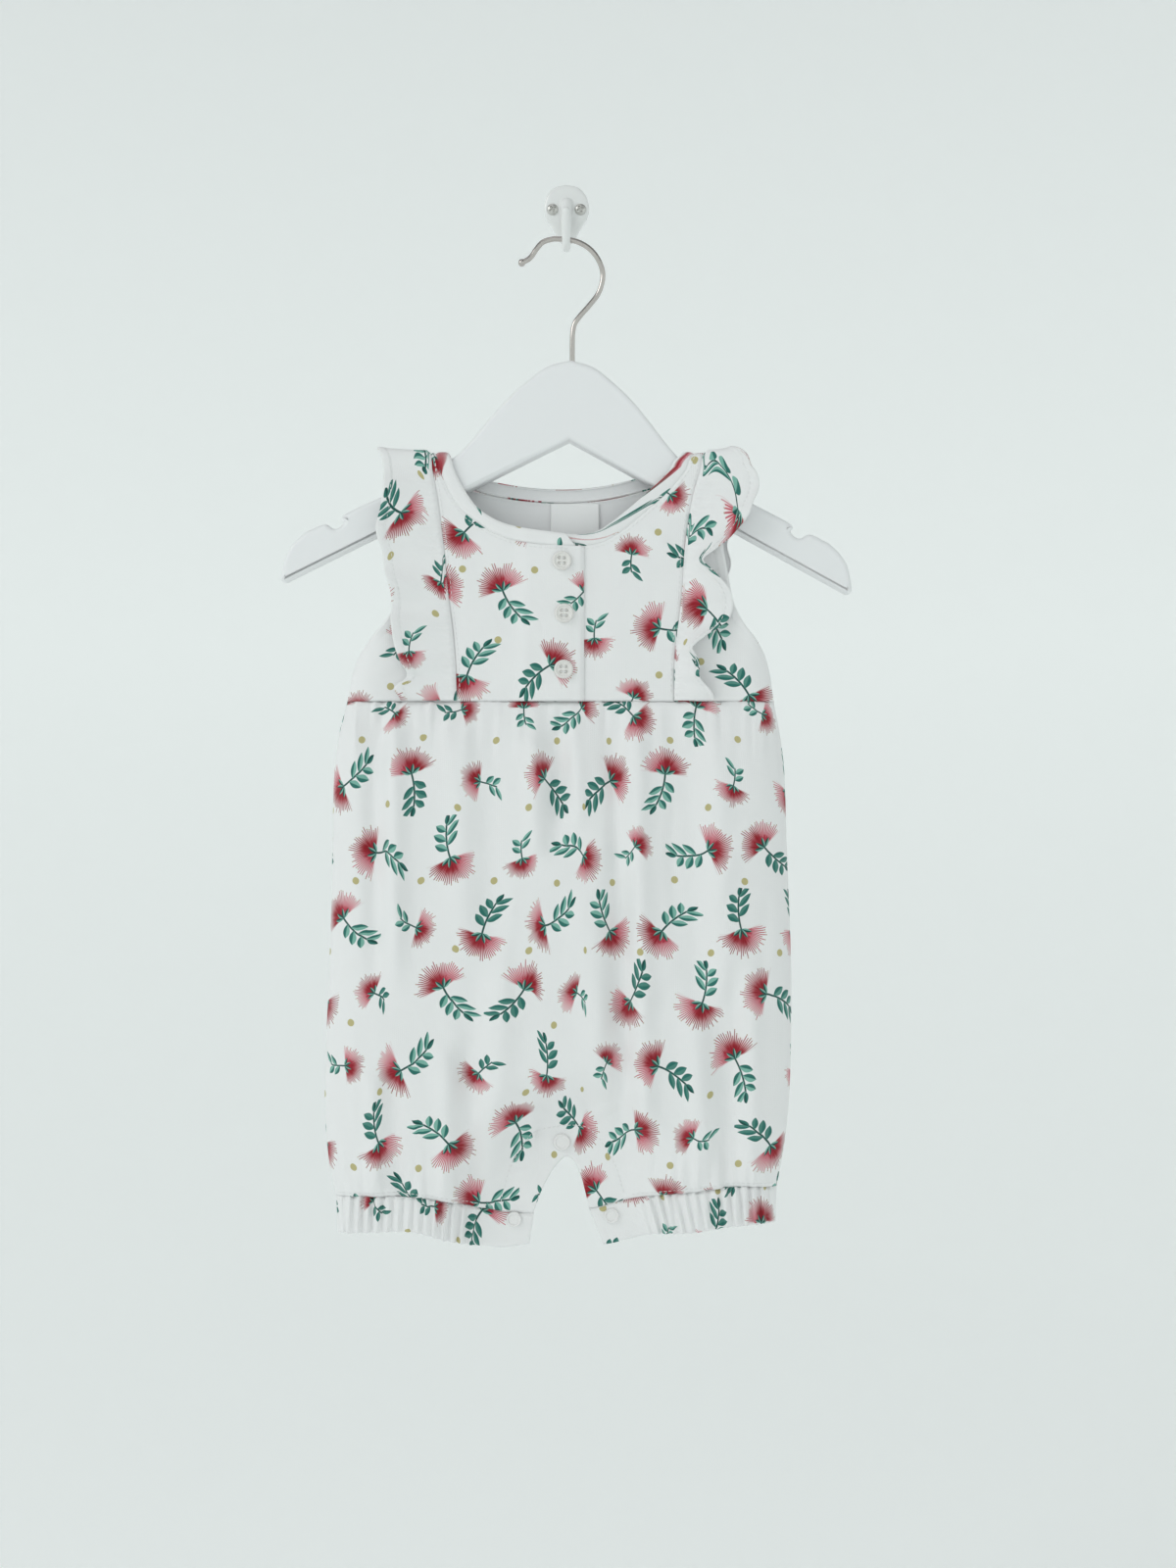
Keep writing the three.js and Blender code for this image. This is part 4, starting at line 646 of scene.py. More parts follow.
def printed_jersey():
    ink = {name: rgb(*numbers) for name, numbers in INK.items()}
    material = plain_material("printed_jersey_print", ink["ground"], 0.92, sheen=0.2)
    tree = Number.tree = material.node_tree
    shader = tree.nodes["Principled BSDF"]
    cloth = tree.nodes.new("ShaderNodeUVMap")
    cloth.uv_map = "Cloth"
    split = tree.nodes.new("ShaderNodeSeparateXYZ")
    tree.links.new(cloth.outputs[0], split.inputs[0])
    u, v = Number(split.outputs["X"]) * 1000, Number(split.outputs["Y"]) * 1000

    line = calculate("FLOOR", v / PRINT["cell_y"])
    stagger = calculate("FLOORED_MODULO", line, 2) * 0.5
    shifted = u / PRINT["cell_x"] + stagger
    place = calculate("FLOOR", shifted)
    a = (shifted - place - 0.5) * PRINT["cell_x"]
    b = (v / PRINT["cell_y"] - line - 0.5) * PRINT["cell_y"]
    turn, shift_a, shift_b = random_numbers(place, line, 3.0)
    side, size, tone = random_numbers(place, line, 17.0)
    dot_a, dot_b, dot_there = random_numbers(place, line, 41.0)

    # Motif's own coordinates: q runs from the leaves to the flower
    angle = turn * (2 * math.pi)
    cos, sin = calculate("COSINE", angle), calculate("SINE", angle)
    at_a, at_b = a - (shift_a - 0.5) * PRINT["jitter"], b - (shift_b - 0.5) * PRINT["jitter"]
    large = ramp(size, 0.45, 0.46)
    scale = 0.84 + 0.28 * large
    mirror = calculate("SIGN", side - 0.5)
    p = (at_a * cos - at_b * sin) * mirror / scale
    q = (at_a * sin + at_b * cos) / scale

    # Flower: a fan of fine stamens about the calyx, dense at its heart
    up = q - PRINT["calyx"]
    far = calculate("SQRT", p * p + up * up)
    bearing = calculate("ARCTAN2", p, up)
    rays_per_turn = PRINT["rays"] / (2 * PRINT["half_turn"])
    ray_place = bearing * rays_per_turn
    ray = calculate("FLOOR", ray_place)
    off_ray = calculate("ABSOLUTE", ray_place - ray - 0.5)
    ray_long, ray_tone, ray_tip = random_numbers(ray, place, line)
    reach = PRINT["petal"] - 3.4 * ray_long
    fan = 1 - ramp(calculate("ABSOLUTE", bearing), PRINT["half_turn"] - 0.22, PRINT["half_turn"])
    off_line = off_ray * far / rays_per_turn
    inside = 1 - ramp(far - reach, -0.7, 0)
    stamen = (1 - ramp(off_line, 0.1, 0.3)) * inside * fan
    pale = ramp(bearing, -0.1, 0.9)
    wash = (1 - ramp(far, 4.5, 12.0)) * fan * (0.95 - 0.2 * pale)
    heart = (1 - ramp(far + 2.2 * ray_tone, 5.2, 9.4 - 3.6 * pale)) * fan
    tip_off = off_line + calculate("ABSOLUTE", far - reach)
    tip = (1 - ramp(tip_off, 0.25, 0.5)) * fan * ramp(ray_tip, 0.35, 0.4)

    washed = blended(pale, ink["wash"], ink["pale_wash"])
    colour = blended(wash * 0.8, ink["ground"], washed)
    colour = blended(heart, colour, ink["heart"])
    lines = blended(pale * 0.6 + 0.25 * ray_tone, ink["line"], ink["pale_line"])
    colour = blended(stamen * 0.92, colour, lines)
    colour = blended(tip * 0.8, colour, ink["tip"])

    # Stem, bent to one side, with leaves in turn on its two sides
    below = calculate("MINIMUM", up, 0)
    bent = p - below * below * PRINT["bend"]
    teal, dark_teal, light_teal = ink["teal"], ink["dark_teal"], ink["light_teal"]
    stem_end = -12.0 + 4.0 * (1 - large)
    in_stem = ramp(q, stem_end, stem_end + 1.0) * (1 - ramp(q, PRINT["calyx"], PRINT["calyx"] + 0.6))
    stem = (1 - ramp(calculate("ABSOLUTE", bent), 0.3, 0.6)) * in_stem
    colour = blended(stem, colour, dark_teal)
    fold = calculate("ABSOLUTE", bent)
    in_turn = q + calculate("SIGN", bent) * 1.1
    paler = ramp(tone, 0.52, 0.56)
    for base, long, wide, on_small in PRINT_LEAVES:
        mask, across = leaf(fold, in_turn, base, LEAF_TURN, long, wide)
        half = ramp(across, -0.25, 0.25)
        green = blended(half * (0.25 + 0.75 * paler), teal, light_teal)
        colour = blended(mask * (1.0 if on_small else large), colour, green)
    mask, across = leaf(bent, q, -11.2, math.radians(180), 5.2, 2.7)
    colour = blended(mask * large, colour, blended(ramp(across, -0.2, 0.3), dark_teal, teal))
    for turned, long, wide in ((64, 5.6, 1.9), (24, 5.2, 1.7)):
        mask, across = leaf(calculate("ABSOLUTE", p), up, -0.8, math.radians(turned), long, wide)
        green = blended(ramp(across, -0.1, 0.3), dark_teal, light_teal)
        colour = blended(mask, colour, green)

    # Dot near the cell's corner
    dot_x = a - (PRINT["cell_x"] / 2 - 3.4 - 1.6 * dot_a)
    dot_y = b - (PRINT["cell_y"] / 2 - 3.2 - 1.6 * dot_b)
    dot = 1 - ramp(calculate("SQRT", dot_x * dot_x + dot_y * dot_y), PRINT["dot"] - 0.25, PRINT["dot"])
    colour = blended(dot * ramp(dot_there, 0.22, 0.24), colour, ink["dot"])
    tree.links.new(colour, shader.inputs["Base Color"])
    jersey_relief(material, u, v)
    return material


materials = {
    "jersey": printed_jersey(),
    "wrong_side": add_noise(
        plain_material("jersey_wrong_side", rgb(240, 240, 241), 0.95, sheen=0.2), 900, 0.03, 0.1
    ),
    "label": add_noise(plain_material("label_tape", rgb(250, 250, 250), 0.6, sheen=0.3), 1500, 0.02, 0.05),
    "thread": plain_material("sewing_thread", rgb(240, 240, 240), 0.75, sheen=0.2),
    "button": add_noise(plain_material("button_pearl", rgb(240, 238, 234), 0.28, coat=0.5), 120, 0.05, 0.02),
    "snap": plain_material("snap_plastic_white", rgb(244, 243, 242), 0.32, coat=0.3),
    "wood": add_noise(plain_material("hanger_paint", rgb(246, 247, 248), 0.42), 60, 0.015, 0.06),
    "chrome": plain_material("hanger_chrome", rgb(196, 190, 186), 0.16, metallic=1.0),
    "enamel": add_noise(plain_material("hook_enamel", rgb(240, 241, 240), 0.3, coat=0.6), 180, 0.02, 0.05),
    "screw": plain_material("screw_head", rgb(205, 204, 200), 0.34, metallic=0.85),
}


# Meshes


def add_object(name, mesh):
    piece = bpy.data.objects.new(name, mesh)
    bpy.context.scene.collection.objects.link(piece)
    return piece


def smooth_mesh(name, points, faces):
    """A smooth-shaded mesh from places in millimetres."""
    mesh = bpy.data.meshes.new(name)
    mesh.from_pydata((np.asarray(points).reshape(-1, 3) * MM).tolist(), [], faces)
    mesh.polygons.foreach_set("use_smooth", np.ones(len(mesh.polygons), bool))
    return mesh


def grid_faces(rows, columns, closed=False):
    index = np.arange(rows * columns).reshape(rows, columns)
    if closed:
        index = np.concatenate([index, index[:, :1]], 1)
    return np.stack([index[:-1, :-1], index[:-1, 1:], index[1:, 1:], index[1:, :-1]], -1).reshape(-1, 4)


def lengths_along(points, axis):
    """Distance walked over a grid of points along one of its axes."""
    step = np.linalg.norm(np.diff(points, axis=axis), axis=-1)
    start = np.zeros_like(np.take(step, [0], axis=axis))
    return np.concatenate([start, np.cumsum(step, axis=axis)], axis=axis)


def turned_outward(points, face):
    """The grid with its columns in the order that makes its faces look out of the garment."""
    i, j = points.shape[0] // 4 + 1, points.shape[1] // 2
    across = points[i, j + 1] - points[i, j]
    along = points[i + 1, j] - points[i, j]
    outward = np.sign(np.cross(across, along)[1]) == way_out(face)
    return points if outward else points[:, ::-1]


def fasten(piece, node, material):
    piece.data.materials.append(materials[material])
    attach(piece, "root")
    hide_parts(node)
    return piece


def cloth_sheet(name, points, face, print_row, cut_from, thick=CLOTH, flat=None):
    """A thin sheet of printed jersey over the solid of the same name. Its print runs with the length of the
    cloth along one row and down every column, so that gathers and folds take it in, or by a panel's own flat
    places. cut_from is the place on the printed cloth where the piece was cut."""
    turned = turned_outward(points, face)
    across = lengths_along(turned[print_row:print_row + 1], 1)[0]
    down = lengths_along(turned, 0)
    print_at = np.stack([np.broadcast_to(across, down.shape), down], -1)
    if flat is not None:
        print_at = np.stack(np.broadcast_arrays(*flat), -1)
        print_at = print_at if turned is points else print_at[:, ::-1]
    print_at = (print_at + np.array(cut_from)) * MM
    points = turned
    faces = grid_faces(*points.shape[:2])
    mesh = smooth_mesh(name, points, faces.tolist())
    layer = mesh.uv_layers.new(name="Cloth")
    layer.uv.foreach_set("vector", print_at.reshape(-1, 2)[faces.reshape(-1)].reshape(-1))
    piece = add_object(name + "_cloth", mesh)
    wall = piece.modifiers.new("Wall", "SOLIDIFY")
    wall.thickness = thick * MM
    wall.offset = -1
    wall.material_offset = 1
    wall.material_offset_rim = 0
    fasten(piece, name, "jersey")
    mesh.materials.append(materials["wrong_side"])
    return piece


def thread_piece(name, points, faces):
    piece = add_object(name, smooth_mesh(name, points, faces.tolist()))
    piece.data.materials.append(materials["thread"])
    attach(piece, "root")


STITCH = {"pitch": 2.7, "long": 1.9, "radius": 0.17, "arch": 0.28, "sides": 6, "rings": 4}
thread_lines = []


def stitch_line(on_cloth, above_cloth):
    """Keeps a line of sewing: its places on the cloth, and places above them that give the way out."""
    thread_lines.append((np.asarray(on_cloth), np.asarray(above_cloth)))


def sewing(name):
    """All lines of sewing as one mesh of short arched stitches."""
    points, faces = [], []
    count = 0
    one = grid_faces(STITCH["rings"], STITCH["sides"], closed=True)
    for line, above in thread_lines:
        walked = lengths_along(line[None], 1)[0]
        places = np.arange(STITCH["pitch"], walked[-1] - STITCH["pitch"], STITCH["pitch"])

        def at(distance, values):
            return np.stack([np.interp(distance, walked, values[:, k]) for k in range(3)], -1)

        out = at(places, above) - at(places, line)
        out /= np.linalg.norm(out, axis=-1, keepdims=True)
        ahead = at(places + 0.3, line) - at(places - 0.3, line)
        ahead /= np.linalg.norm(ahead, axis=-1, keepdims=True)
        sideways = np.cross(out, ahead)
        rings = []
        for t in np.linspace(0, 1, STITCH["rings"]):
            arch = STITCH["arch"] * math.sin(math.pi * t) - 0.06
            centre = at(places + (t - 0.5) * STITCH["long"], line) + out * arch
            radius = STITCH["radius"] * (0.55 + 0.45 * math.sin(math.pi * t))
            for turn in np.linspace(0, 2 * math.pi, STITCH["sides"], endpoint=False):
                rings.append(centre + radius * (math.cos(turn) * sideways + math.sin(turn) * out))
        starts = count + np.arange(len(places)) * STITCH["rings"] * STITCH["sides"]
        faces.append((starts[:, None, None] + one[None]).reshape(-1, 4))
        points.append(np.stack(rings, 1).reshape(-1, 3))
        count += len(points[-1])
    thread_piece(name, np.concatenate(points), np.concatenate(faces))


def beside(x, z, distance):
    """A line moved to its left, as it runs, by a distance."""
    dx, dz = np.gradient(x), np.gradient(z)
    long = np.hypot(dx, dz)
    return x - dz / long * distance, z + dx / long * distance


def bodice_line(x, height, face, lift=0.0):
    stitch_line(bodice_point(x, height, face, lift), bodice_point(x, height, face, lift + 1))


# Bodice


def edge_roll(distance, deep=0.55, wide=0.8):
    """How far an edge or a seam turns in, at a distance from it."""
    return -deep * bump(distance, wide)


def front_centre(side, inner_x, lift, cut_from):
    rows = {name: column.copy() for name, column in NECK[side].items()}
    rows["seam_x"][0] = inner_x
    rows["row_z"][0] = rows["seam_z"][0]
    u = even(64)
    z = np.linspace(WAIST, rows["seam_z"][0], 80)
    k = np.linspace(0, rows["row"][-1], 80)[1:]
    inner_line = np.concatenate([np.full(len(z), inner_x), lookup(rows, "row", k, "seam_x")])
    inner_z = np.concatenate([z, lookup(rows, "row", k, "seam_z")])
    outer_z = np.concatenate([z, lookup(rows, "row", k, "row_z")])
    from_neck = np.concatenate([np.full(len(z), 99.0), np.zeros(len(k))])[:, None]
    seam = lookup(RUFFLE_SEAM, "z", outer_z, side)
    wide = np.abs(seam - inner_line)[:, None]
    x = inner_line[:, None] + (seam - inner_line)[:, None] * u
    height = inner_z[:, None] + (outer_z - inner_z)[:, None] * u
    roll = edge_roll((1 - u) * wide) + edge_roll(height - WAIST) + edge_roll(u * wide + from_neck, 0.4)
    points = bodice_point(x, height, "front", lift(x) + roll)
    piece = cloth_sheet(f"front_centre_{side}", points, "front", 40, cut_from, flat=(x, height))

    inward = 1 if side == "left" else -1
    z = np.linspace(WAIST + 3, STRAP_TOP, 140)
    seam_x = lookup(RUFFLE_SEAM, "z", z, side) + inward * 1.7
    bodice_line(seam_x, z, "front", lift(seam_x))
    k = np.linspace(0.35, rows["row"][-1] - 0.2, 160)
    x, z = beside(*place_at(rows, k, "seam_"), 1.6 * inward)
    bodice_line(x, z, "front", lift(x))


def back_centre(cut_from):
    rows = NECK["back"]
    half = rows["row"][-1] / 2
    k = np.linspace(0, rows["row"][-1], 130)
    v = even(110, 0.3)[:, None]
    top_x, top_z = place_at(rows, k, "seam_")
    on_right = k < half
    low_right, low_left = (lookup(RUFFLE_SEAM, "z", WAIST, side) for side in ("right", "left"))
    side_low = np.where(on_right, low_right, low_left)
    share = np.abs(k - half) / half
    z = WAIST + (top_z - WAIST) * v
    straight = side_low * share + (top_x - side_low * share) * v
    end_z = WAIST + (STRAP_TOP - WAIST) * v
    right_off = lookup(RUFFLE_SEAM, "z", end_z, "right") - (side_low[0] + (top_x[0] - side_low[0]) * v)
    left_off = lookup(RUFFLE_SEAM, "z", end_z, "left") - (side_low[-1] + (top_x[-1] - side_low[-1]) * v)
    x = straight + share**3 * np.where(on_right, right_off, left_off)
    to_left, to_right = (np.abs(x - lookup(RUFFLE_SEAM, "z", z, side)) for side in ("left", "right"))
    roll = edge_roll(np.minimum(to_left, to_right)) + edge_roll(z - WAIST) + edge_roll(top_z - z, 0.4)
    piece = cloth_sheet("back_centre", bodice_point(x, z, "back", roll), "back", 30, cut_from, flat=(x, z))
    for side, inward in (("left", 1), ("right", -1)):
        z = np.linspace(WAIST + 3, STRAP_TOP, 140)
        bodice_line(lookup(RUFFLE_SEAM, "z", z, side) + inward * 1.7, z, "back")
    k = np.linspace(1.2, rows["row"][-1] - 1.2, 200)
    bodice_line(*beside(*place_at(rows, k, "seam_"), 1.7), "back")


def bodice_side(side, face, cut_from):
    z = np.concatenate([np.linspace(WAIST, STRAP_BASE, 90), np.linspace(STRAP_BASE, STRAP_TOP, 21)[1:]])
    seam = lookup(RUFFLE_SEAM, "z", z, side)
    edge = lookup(OUTLINE, "z", z, side)
    u = even(44, 0.8)
    x = seam[:, None] + (edge - seam)[:, None] * u
    height = z[:, None] + 0 * u
    opened = 1 - smooth(z, *UNDERARM)[:, None]
    wide = np.abs(edge - seam)[:, None]
    from_edge = wide * (1 - u)
    hem = opened * (0.35 * (1 - smooth(from_edge, 4.2, 5.4)) + edge_roll(from_edge, 0.7, 0.7))
    roll = edge_roll(wide * u) + edge_roll(height - WAIST) + hem
    points = bodice_point(x, height, face, roll)
    piece = cloth_sheet(f"{face}_side_{side}", points, face, 20, cut_from, flat=(x, height))
    z = np.linspace(UNDERARM[0] - 2, STRAP_TOP, 120)
    inward = 1 if side == "left" else -1
    bodice_line(lookup(OUTLINE, "z", z, side) + inward * 4.6, z, face, 0.1)


# Ruffles


def ruffle_point(side, t, w, lift=0.0):
    """A place on a ruffle. t runs from 0 at the front waist, over the shoulder at 1, to 2 at the back waist,
    and w from the seam at 0 to the free edge at 1."""
    rows = RUFFLE[side]
    sign = -1 if side == "left" else 1
    share = np.where(t <= 1, t, 2 - t)
    z = WAIST + 0.3 + (STRAP_TOP - WAIST - 0.3) * share
    seam = lookup(RUFFLE_SEAM, "z", z, side)
    wave = np.sin(share * RUFFLE_BACK["waves"] * 2 * math.pi)
    width = RUFFLE_BACK["waist"] + (RUFFLE_BACK["shoulder"] - RUFFLE_BACK["waist"]) * share
    near = smooth(share, 0.82, 1)
    back_edge = seam + sign * (width + 1.5 * wave)
    back_edge = back_edge + (rows["edge"][-1] - back_edge) * near
    back_lift = RUFFLE_BACK["stand"] + RUFFLE_BACK["swing"] * (1 + wave) * 0.5
    back_lift = back_lift + (rows["lift"][-1] - back_lift) * near
    in_front = t <= 1
    edge = np.where(in_front, lookup(rows, "z", z, "edge"), back_edge)
    edge_lift = np.where(in_front, lookup(rows, "z", z, "lift"), back_lift)

    walked = share * (STRAP_TOP - WAIST)
    phase = RIPPLE[side]
    quick = np.sin(walked / RIPPLE["over"] + phase + 2 * np.sin(walked / RIPPLE["drift_over"]))
    ripple = quick * (0.5 + 0.5 * np.sin(walked / RIPPLE["swell_over"] + phase))
    drift = SEAM_GATHER["drift"] * np.sin(walked / SEAM_GATHER["drift_over"])
    gather = np.sin(walked * 2 * math.pi / SEAM_GATHER["pitch"] + drift)
    seam_gather = SEAM_GATHER["rise"] * bump(w, 0.3) * smooth(w, 0, 0.08) * gather
    wide = np.abs(edge - seam)
    from_edge = wide * (1 - w)
    hem = 0.3 * (1 - smooth(from_edge, 4.0, 4.8)) - 0.22 * bump(from_edge - 4.4, 0.5)
    hem = hem + edge_roll(from_edge, 0.5, 0.5)
    calm = smooth(edge_lift, 2.4, 5)
    stand = 1.2 + np.maximum(edge_lift - 1.1, 0.6) * w**1.2 + calm * 0.9 * w * ripple
    stand = stand + seam_gather + hem * smooth(w, 0.1, 0.4) + edge_roll(wide * w, 1.1, 1.0)
    x = seam + (edge - seam) * w + calm * 0.7 * w * w * ripple
    front = strap_point(x, z, "front", stand + lift)
    back = strap_point(x, z, "back", stand + lift)
    return np.where(in_front[..., None], front, back)


def ruffle(side, cut_from):
    t = np.concatenate([np.linspace(0, 1, 200), np.linspace(1, 2, 160)[1:]])[:, None] * np.ones((1, 40))
    w = even(40, 0.5)[None] * np.ones_like(t)
    piece = cloth_sheet(f"ruffle_{side}", ruffle_point(side, t, w), "front", 90, cut_from)
    t = np.linspace(0.01, 1.99, 900)
    w = np.full_like(t, 0.85)
    stitch_line(ruffle_point(side, t, w, 0.05), ruffle_point(side, t, w, 1.05))


# Neckband and label


def neckband_point(part, k, w, lift=0.0):
    rows = NECK[part]
    edge_x, edge_z = place_at(rows, k, "edge_")
    seam_x, seam_z = place_at(rows, k, "seam_")
    x, height = edge_x + (seam_x - edge_x) * w, edge_z + (seam_z - edge_z) * w
    wide = np.hypot(seam_x - edge_x, seam_z - edge_z)
    band = 0.45 * np.clip(np.sin(math.pi * w), 0, 1) ** 0.7
    band = band + edge_roll(wide * w, 0.6, 0.7) + edge_roll(wide * (1 - w), 0.5, 0.7)
    over = placket_lift(x) if part == "left" else 0
    face = "back" if part == "back" else "front"
    return bodice_point(x, height, face, band + over + lift)


def neckband(cut_from):
    w = even(22, 0.6)[None]
    parts = []
    for part, count, backwards in (("left", 150, False), ("back", 190, True), ("right", 150, True)):
        k = np.linspace(0, NECK[part]["row"][-1], count)
        if backwards:
            k = k[::-1][1:]
        parts.append(neckband_point(part, k[:, None], w))
    piece = cloth_sheet("neckband", np.concatenate(parts), "front", 60, cut_from, BAND)


def neck_label():
    u, v = np.linspace(0, 1, 30)[None], np.linspace(0, 1, 34)[:, None]
    x = LABEL["left"] + (LABEL["right"] - LABEL["left"]) * u + 0 * v
    z = LABEL["top"] + (LABEL["bottom"] - LABEL["top"]) * v + 0 * u
    panel = min(float(depth_at(0, LABEL[end], "back")) for end in ("bottom", "top"))
    curl = 0.5 * v**2 * (2 * u - 1) ** 2 + 0.25 * np.sin(math.pi * u) * v
    y = panel - 1.65 - curl
    mesh = smooth_mesh("neck_label", np.stack([x, y, z], -1), grid_faces(34, 30).tolist())
    piece = add_object("neck_label_cloth", mesh)
    wall = piece.modifiers.new("Wall", "SOLIDIFY")
    wall.thickness = LABEL_CLOTH * MM
    wall.offset = 0
    fasten(piece, "neck_label", "label")


# Lower part and cuffs


def lower(face, cut_from, columns, rows):
    v = even(rows, 0.45)[:, None]
    across = even(columns, 0.55)[None]
    at_outline = WAIST + (LOW_END - WAIST) * v
    left, right = lookup(OUTLINE, "z", at_outline, "left"), lookup(OUTLINE, "z", at_outline, "right")
    x = left + (right - left) * across
    z = WAIST + (lower_bottom(x) - WAIST) * v
    roll = edge_roll(WAIST - z, 1.3, 1.4) + edge_roll(z - lower_bottom(x), 0.6, 0.8)
    points = lower_point(x, z, face, roll)
    points[:, [0, -1], 1] = SIDE_SEAM + way_out(face) * 0.15
    piece = cloth_sheet(f"{face}_lower", points, face, rows // 2, cut_from)
    for span in ((-120, -36), (33, 110)):
        x = np.linspace(*span, 220)
        z = lookup(CUFF_SEAM, "x", x, "z") + 2.2
        stitch_line(lower_point(x, z, face, 0.05), lower_point(x, z, face, 1.05))
    k = np.linspace(0, CROTCH_ARC["row"][-1], 300)
    x, z = place_at(CROTCH_ARC, k)
    stitch_line(lower_point(x, z, face, 0.05), lower_point(x, z, face, 1.05))


def cuff(side, face, cut_from):
    outer_x = float(lookup(OUTLINE, "z", CUFF["side_z"], side))
    inner_row, low_row = (1, 0) if side == "left" else (-3, -1)
    inner_top, inner_low = CROTCH["x"][inner_row], CROTCH["x"][low_row]
    length = abs(outer_x - inner_top)
    gathered = length * CUFF["outer_share"]
    mark = length * even(210, 0.4)[None]
    v = even(34, 0.6)[:, None]
    x = outer_x + (inner_top + (inner_low - inner_top) * v - outer_x) * (mark / length)
    top = lookup(CUFF_SEAM, "x", x, "z")
    low = lookup(HEM, "x", x, "z")
    z = top + (low - top) * v
    come = smooth(mark, CUFF_RIB["calm"], CUFF_RIB["full"])
    fade = come * (1 - smooth(mark, gathered * CUFF["fade"], gathered))
    uneven = 1 + CUFF_RIB["uneven"] * np.sin(mark / CUFF_RIB["uneven_over"] + way_out(face))
    drift = CUFF_RIB["drift"] * np.sin(mark / CUFF_RIB["drift_over"])
    count = (mark - CUFF_RIB["first"]) / (CUFF["pitch"] / 2) + drift
    ribs = -CUFF["rise"] * fade * uneven * np.cos(math.pi * count)
    fine = np.sin(2 * math.pi * mark / CUFF_RIB["fine_pitch"] + CUFF_RIB["fine_slant"] * v)
    ribs = ribs + CUFF_RIB["fine"] * fade * fine
    free = smooth(distance_to_crotch(x, z), LAP_FLAT, LAP_FADE)
    bulge = CUFF["bulge"] * np.sin(math.pi * v) * free
    roll = edge_roll(top - z, 1.2, 1.1) + edge_roll(z - low, 0.8, 0.9) + edge_roll(length - mark, 0.5, 0.8)
    moved = (ribs + bulge + roll) * smooth(mark, 0, 3) + crumple(x, z, face)
    y = depth_at(x, z, face) + way_out(face) * moved
    y[:, 0] = SIDE_SEAM + way_out(face) * 0.15
    piece = cloth_sheet(f"cuff_{side}_{face}", np.stack([x, y, z], -1), face, 17, cut_from)


# Buttons, snaps and screws


def disc(name, place, radius, height_at, node, material, rings=30, steps=64):
    """A round piece that faces the viewer, with the middle of its back at a place. height_at tells how far
    its face stands off its back."""
    r = (even(rings, 0.5) * radius)[:, None]
    angle = -np.linspace(0, 2 * math.pi, steps, endpoint=False)[None]
    across, up = r * np.cos(angle), r * np.sin(angle)
    x, back_y, z = place
    rows = [np.stack([x + across, back_y - height_at(across, up), z + up], -1)]
    for share in (1.0, 0.01):
        rows.append(np.stack([x + share * across[-1:], np.full((1, steps), back_y), z + share * up[-1:]], -1))
    points = np.concatenate(rows)
    mesh = smooth_mesh(name, points, grid_faces(len(points), steps, closed=True).tolist())
    return fasten(add_object(name, mesh), node, material)


def button_height(across, up):
    edge = BUTTON["radius"] - np.hypot(across, up)
    rounded = BUTTON["thick"] * np.clip(1 - np.clip(1 - edge, 0, 1) ** 2.2, 0, 1) ** 0.5
    dish = BUTTON["dish"] * smooth(edge, BUTTON["rim"] * 0.75, BUTTON["rim"] * 1.7)
    holes = 0
    for a, b in ((1, 1), (-1, 1), (-1, -1), (1, -1)):
        away = np.hypot(across - a * BUTTON["offset"], up - b * BUTTON["offset"])
        holes = np.maximum(holes, 1 - smooth(away, BUTTON["hole"] - 0.15, BUTTON["hole"] + 0.15))
    return np.maximum(rounded - dish - BUTTON["deep"] * holes, 0.05)


def snap_height(radius):
    """A ring round a sunk middle."""

    def height_at(across, up):
        t = np.hypot(across, up) / radius
        ring = SNAP_THICK * np.clip(1 - (np.abs(t - 0.84) / 0.165) ** 2.4, 0, 1) ** 0.5
        inner = SNAP_THICK * 0.62 + 0.12 * np.cos(3 * t)
        return np.where(t < 0.84, np.maximum(inner, ring), np.maximum(ring, 0.05))

    return height_at


def screw_height(turn):
    """A low dome with a cross cut in it."""

    def height_at(across, up):
        dome = SCREW["thick"] * np.clip(1 - (np.hypot(across, up) / SCREW["radius"]) ** 2.6, 0, 1) ** 0.6
        a = across * math.cos(turn) + up * math.sin(turn)
        b = up * math.cos(turn) - across * math.sin(turn)
        arms = 0
        for narrow, long in ((a, b), (b, a)):
            in_slot = 1 - smooth(np.abs(narrow), SCREW["slot"] - 0.1, SCREW["slot"] + 0.12)
            in_reach = 1 - smooth(np.abs(long), SCREW["reach"] - 0.2, SCREW["reach"])
            arms = np.maximum(arms, in_slot * in_reach)
        return np.maximum(dome - SCREW["deep"] * arms, 0.02)

    return height_at


def fastenings():
    threads = []
    for i, (x, z) in enumerate(BUTTONS):
        cloth_y = float(bodice_point(np.array([x]), np.array([z]), "front", placket_lift(x))[0, 1])
        place = (x, cloth_y - 0.2, z)
        node = f"button_{i + 1}"
        disc(node + "_disc", place, BUTTON["radius"], button_height, node, "button")
        for b in (-1, 1):
            a = np.linspace(-1, 1, 9)
            y = place[1] - (BUTTON["thick"] - BUTTON["dish"]) - 0.3 * np.cos(a * 1.4)
            threads.append(np.stack([x + a * BUTTON["offset"], y, np.full(9, z + b * BUTTON["offset"])], -1))
    for name, x, z, radius in SNAPS:
        cloth_y = float(lower_point(np.array([x]), np.array([z]), "front")[0, 1])
        disc(name + "_ring", (x, cloth_y - 0.1, z), radius, snap_height(radius), name, "snap")
    for name, x, z, turn in SCREWS:
        place = (x, -PLATE_THICK + 0.1, z)
        disc(name + "_head", place, SCREW["radius"], screw_height(turn), name, "screw", 90)
    points, faces = joined([tube(line, 0.24, 8) for line in threads])
    thread_piece("button_threads", points, faces)


# Hanger and wall hook


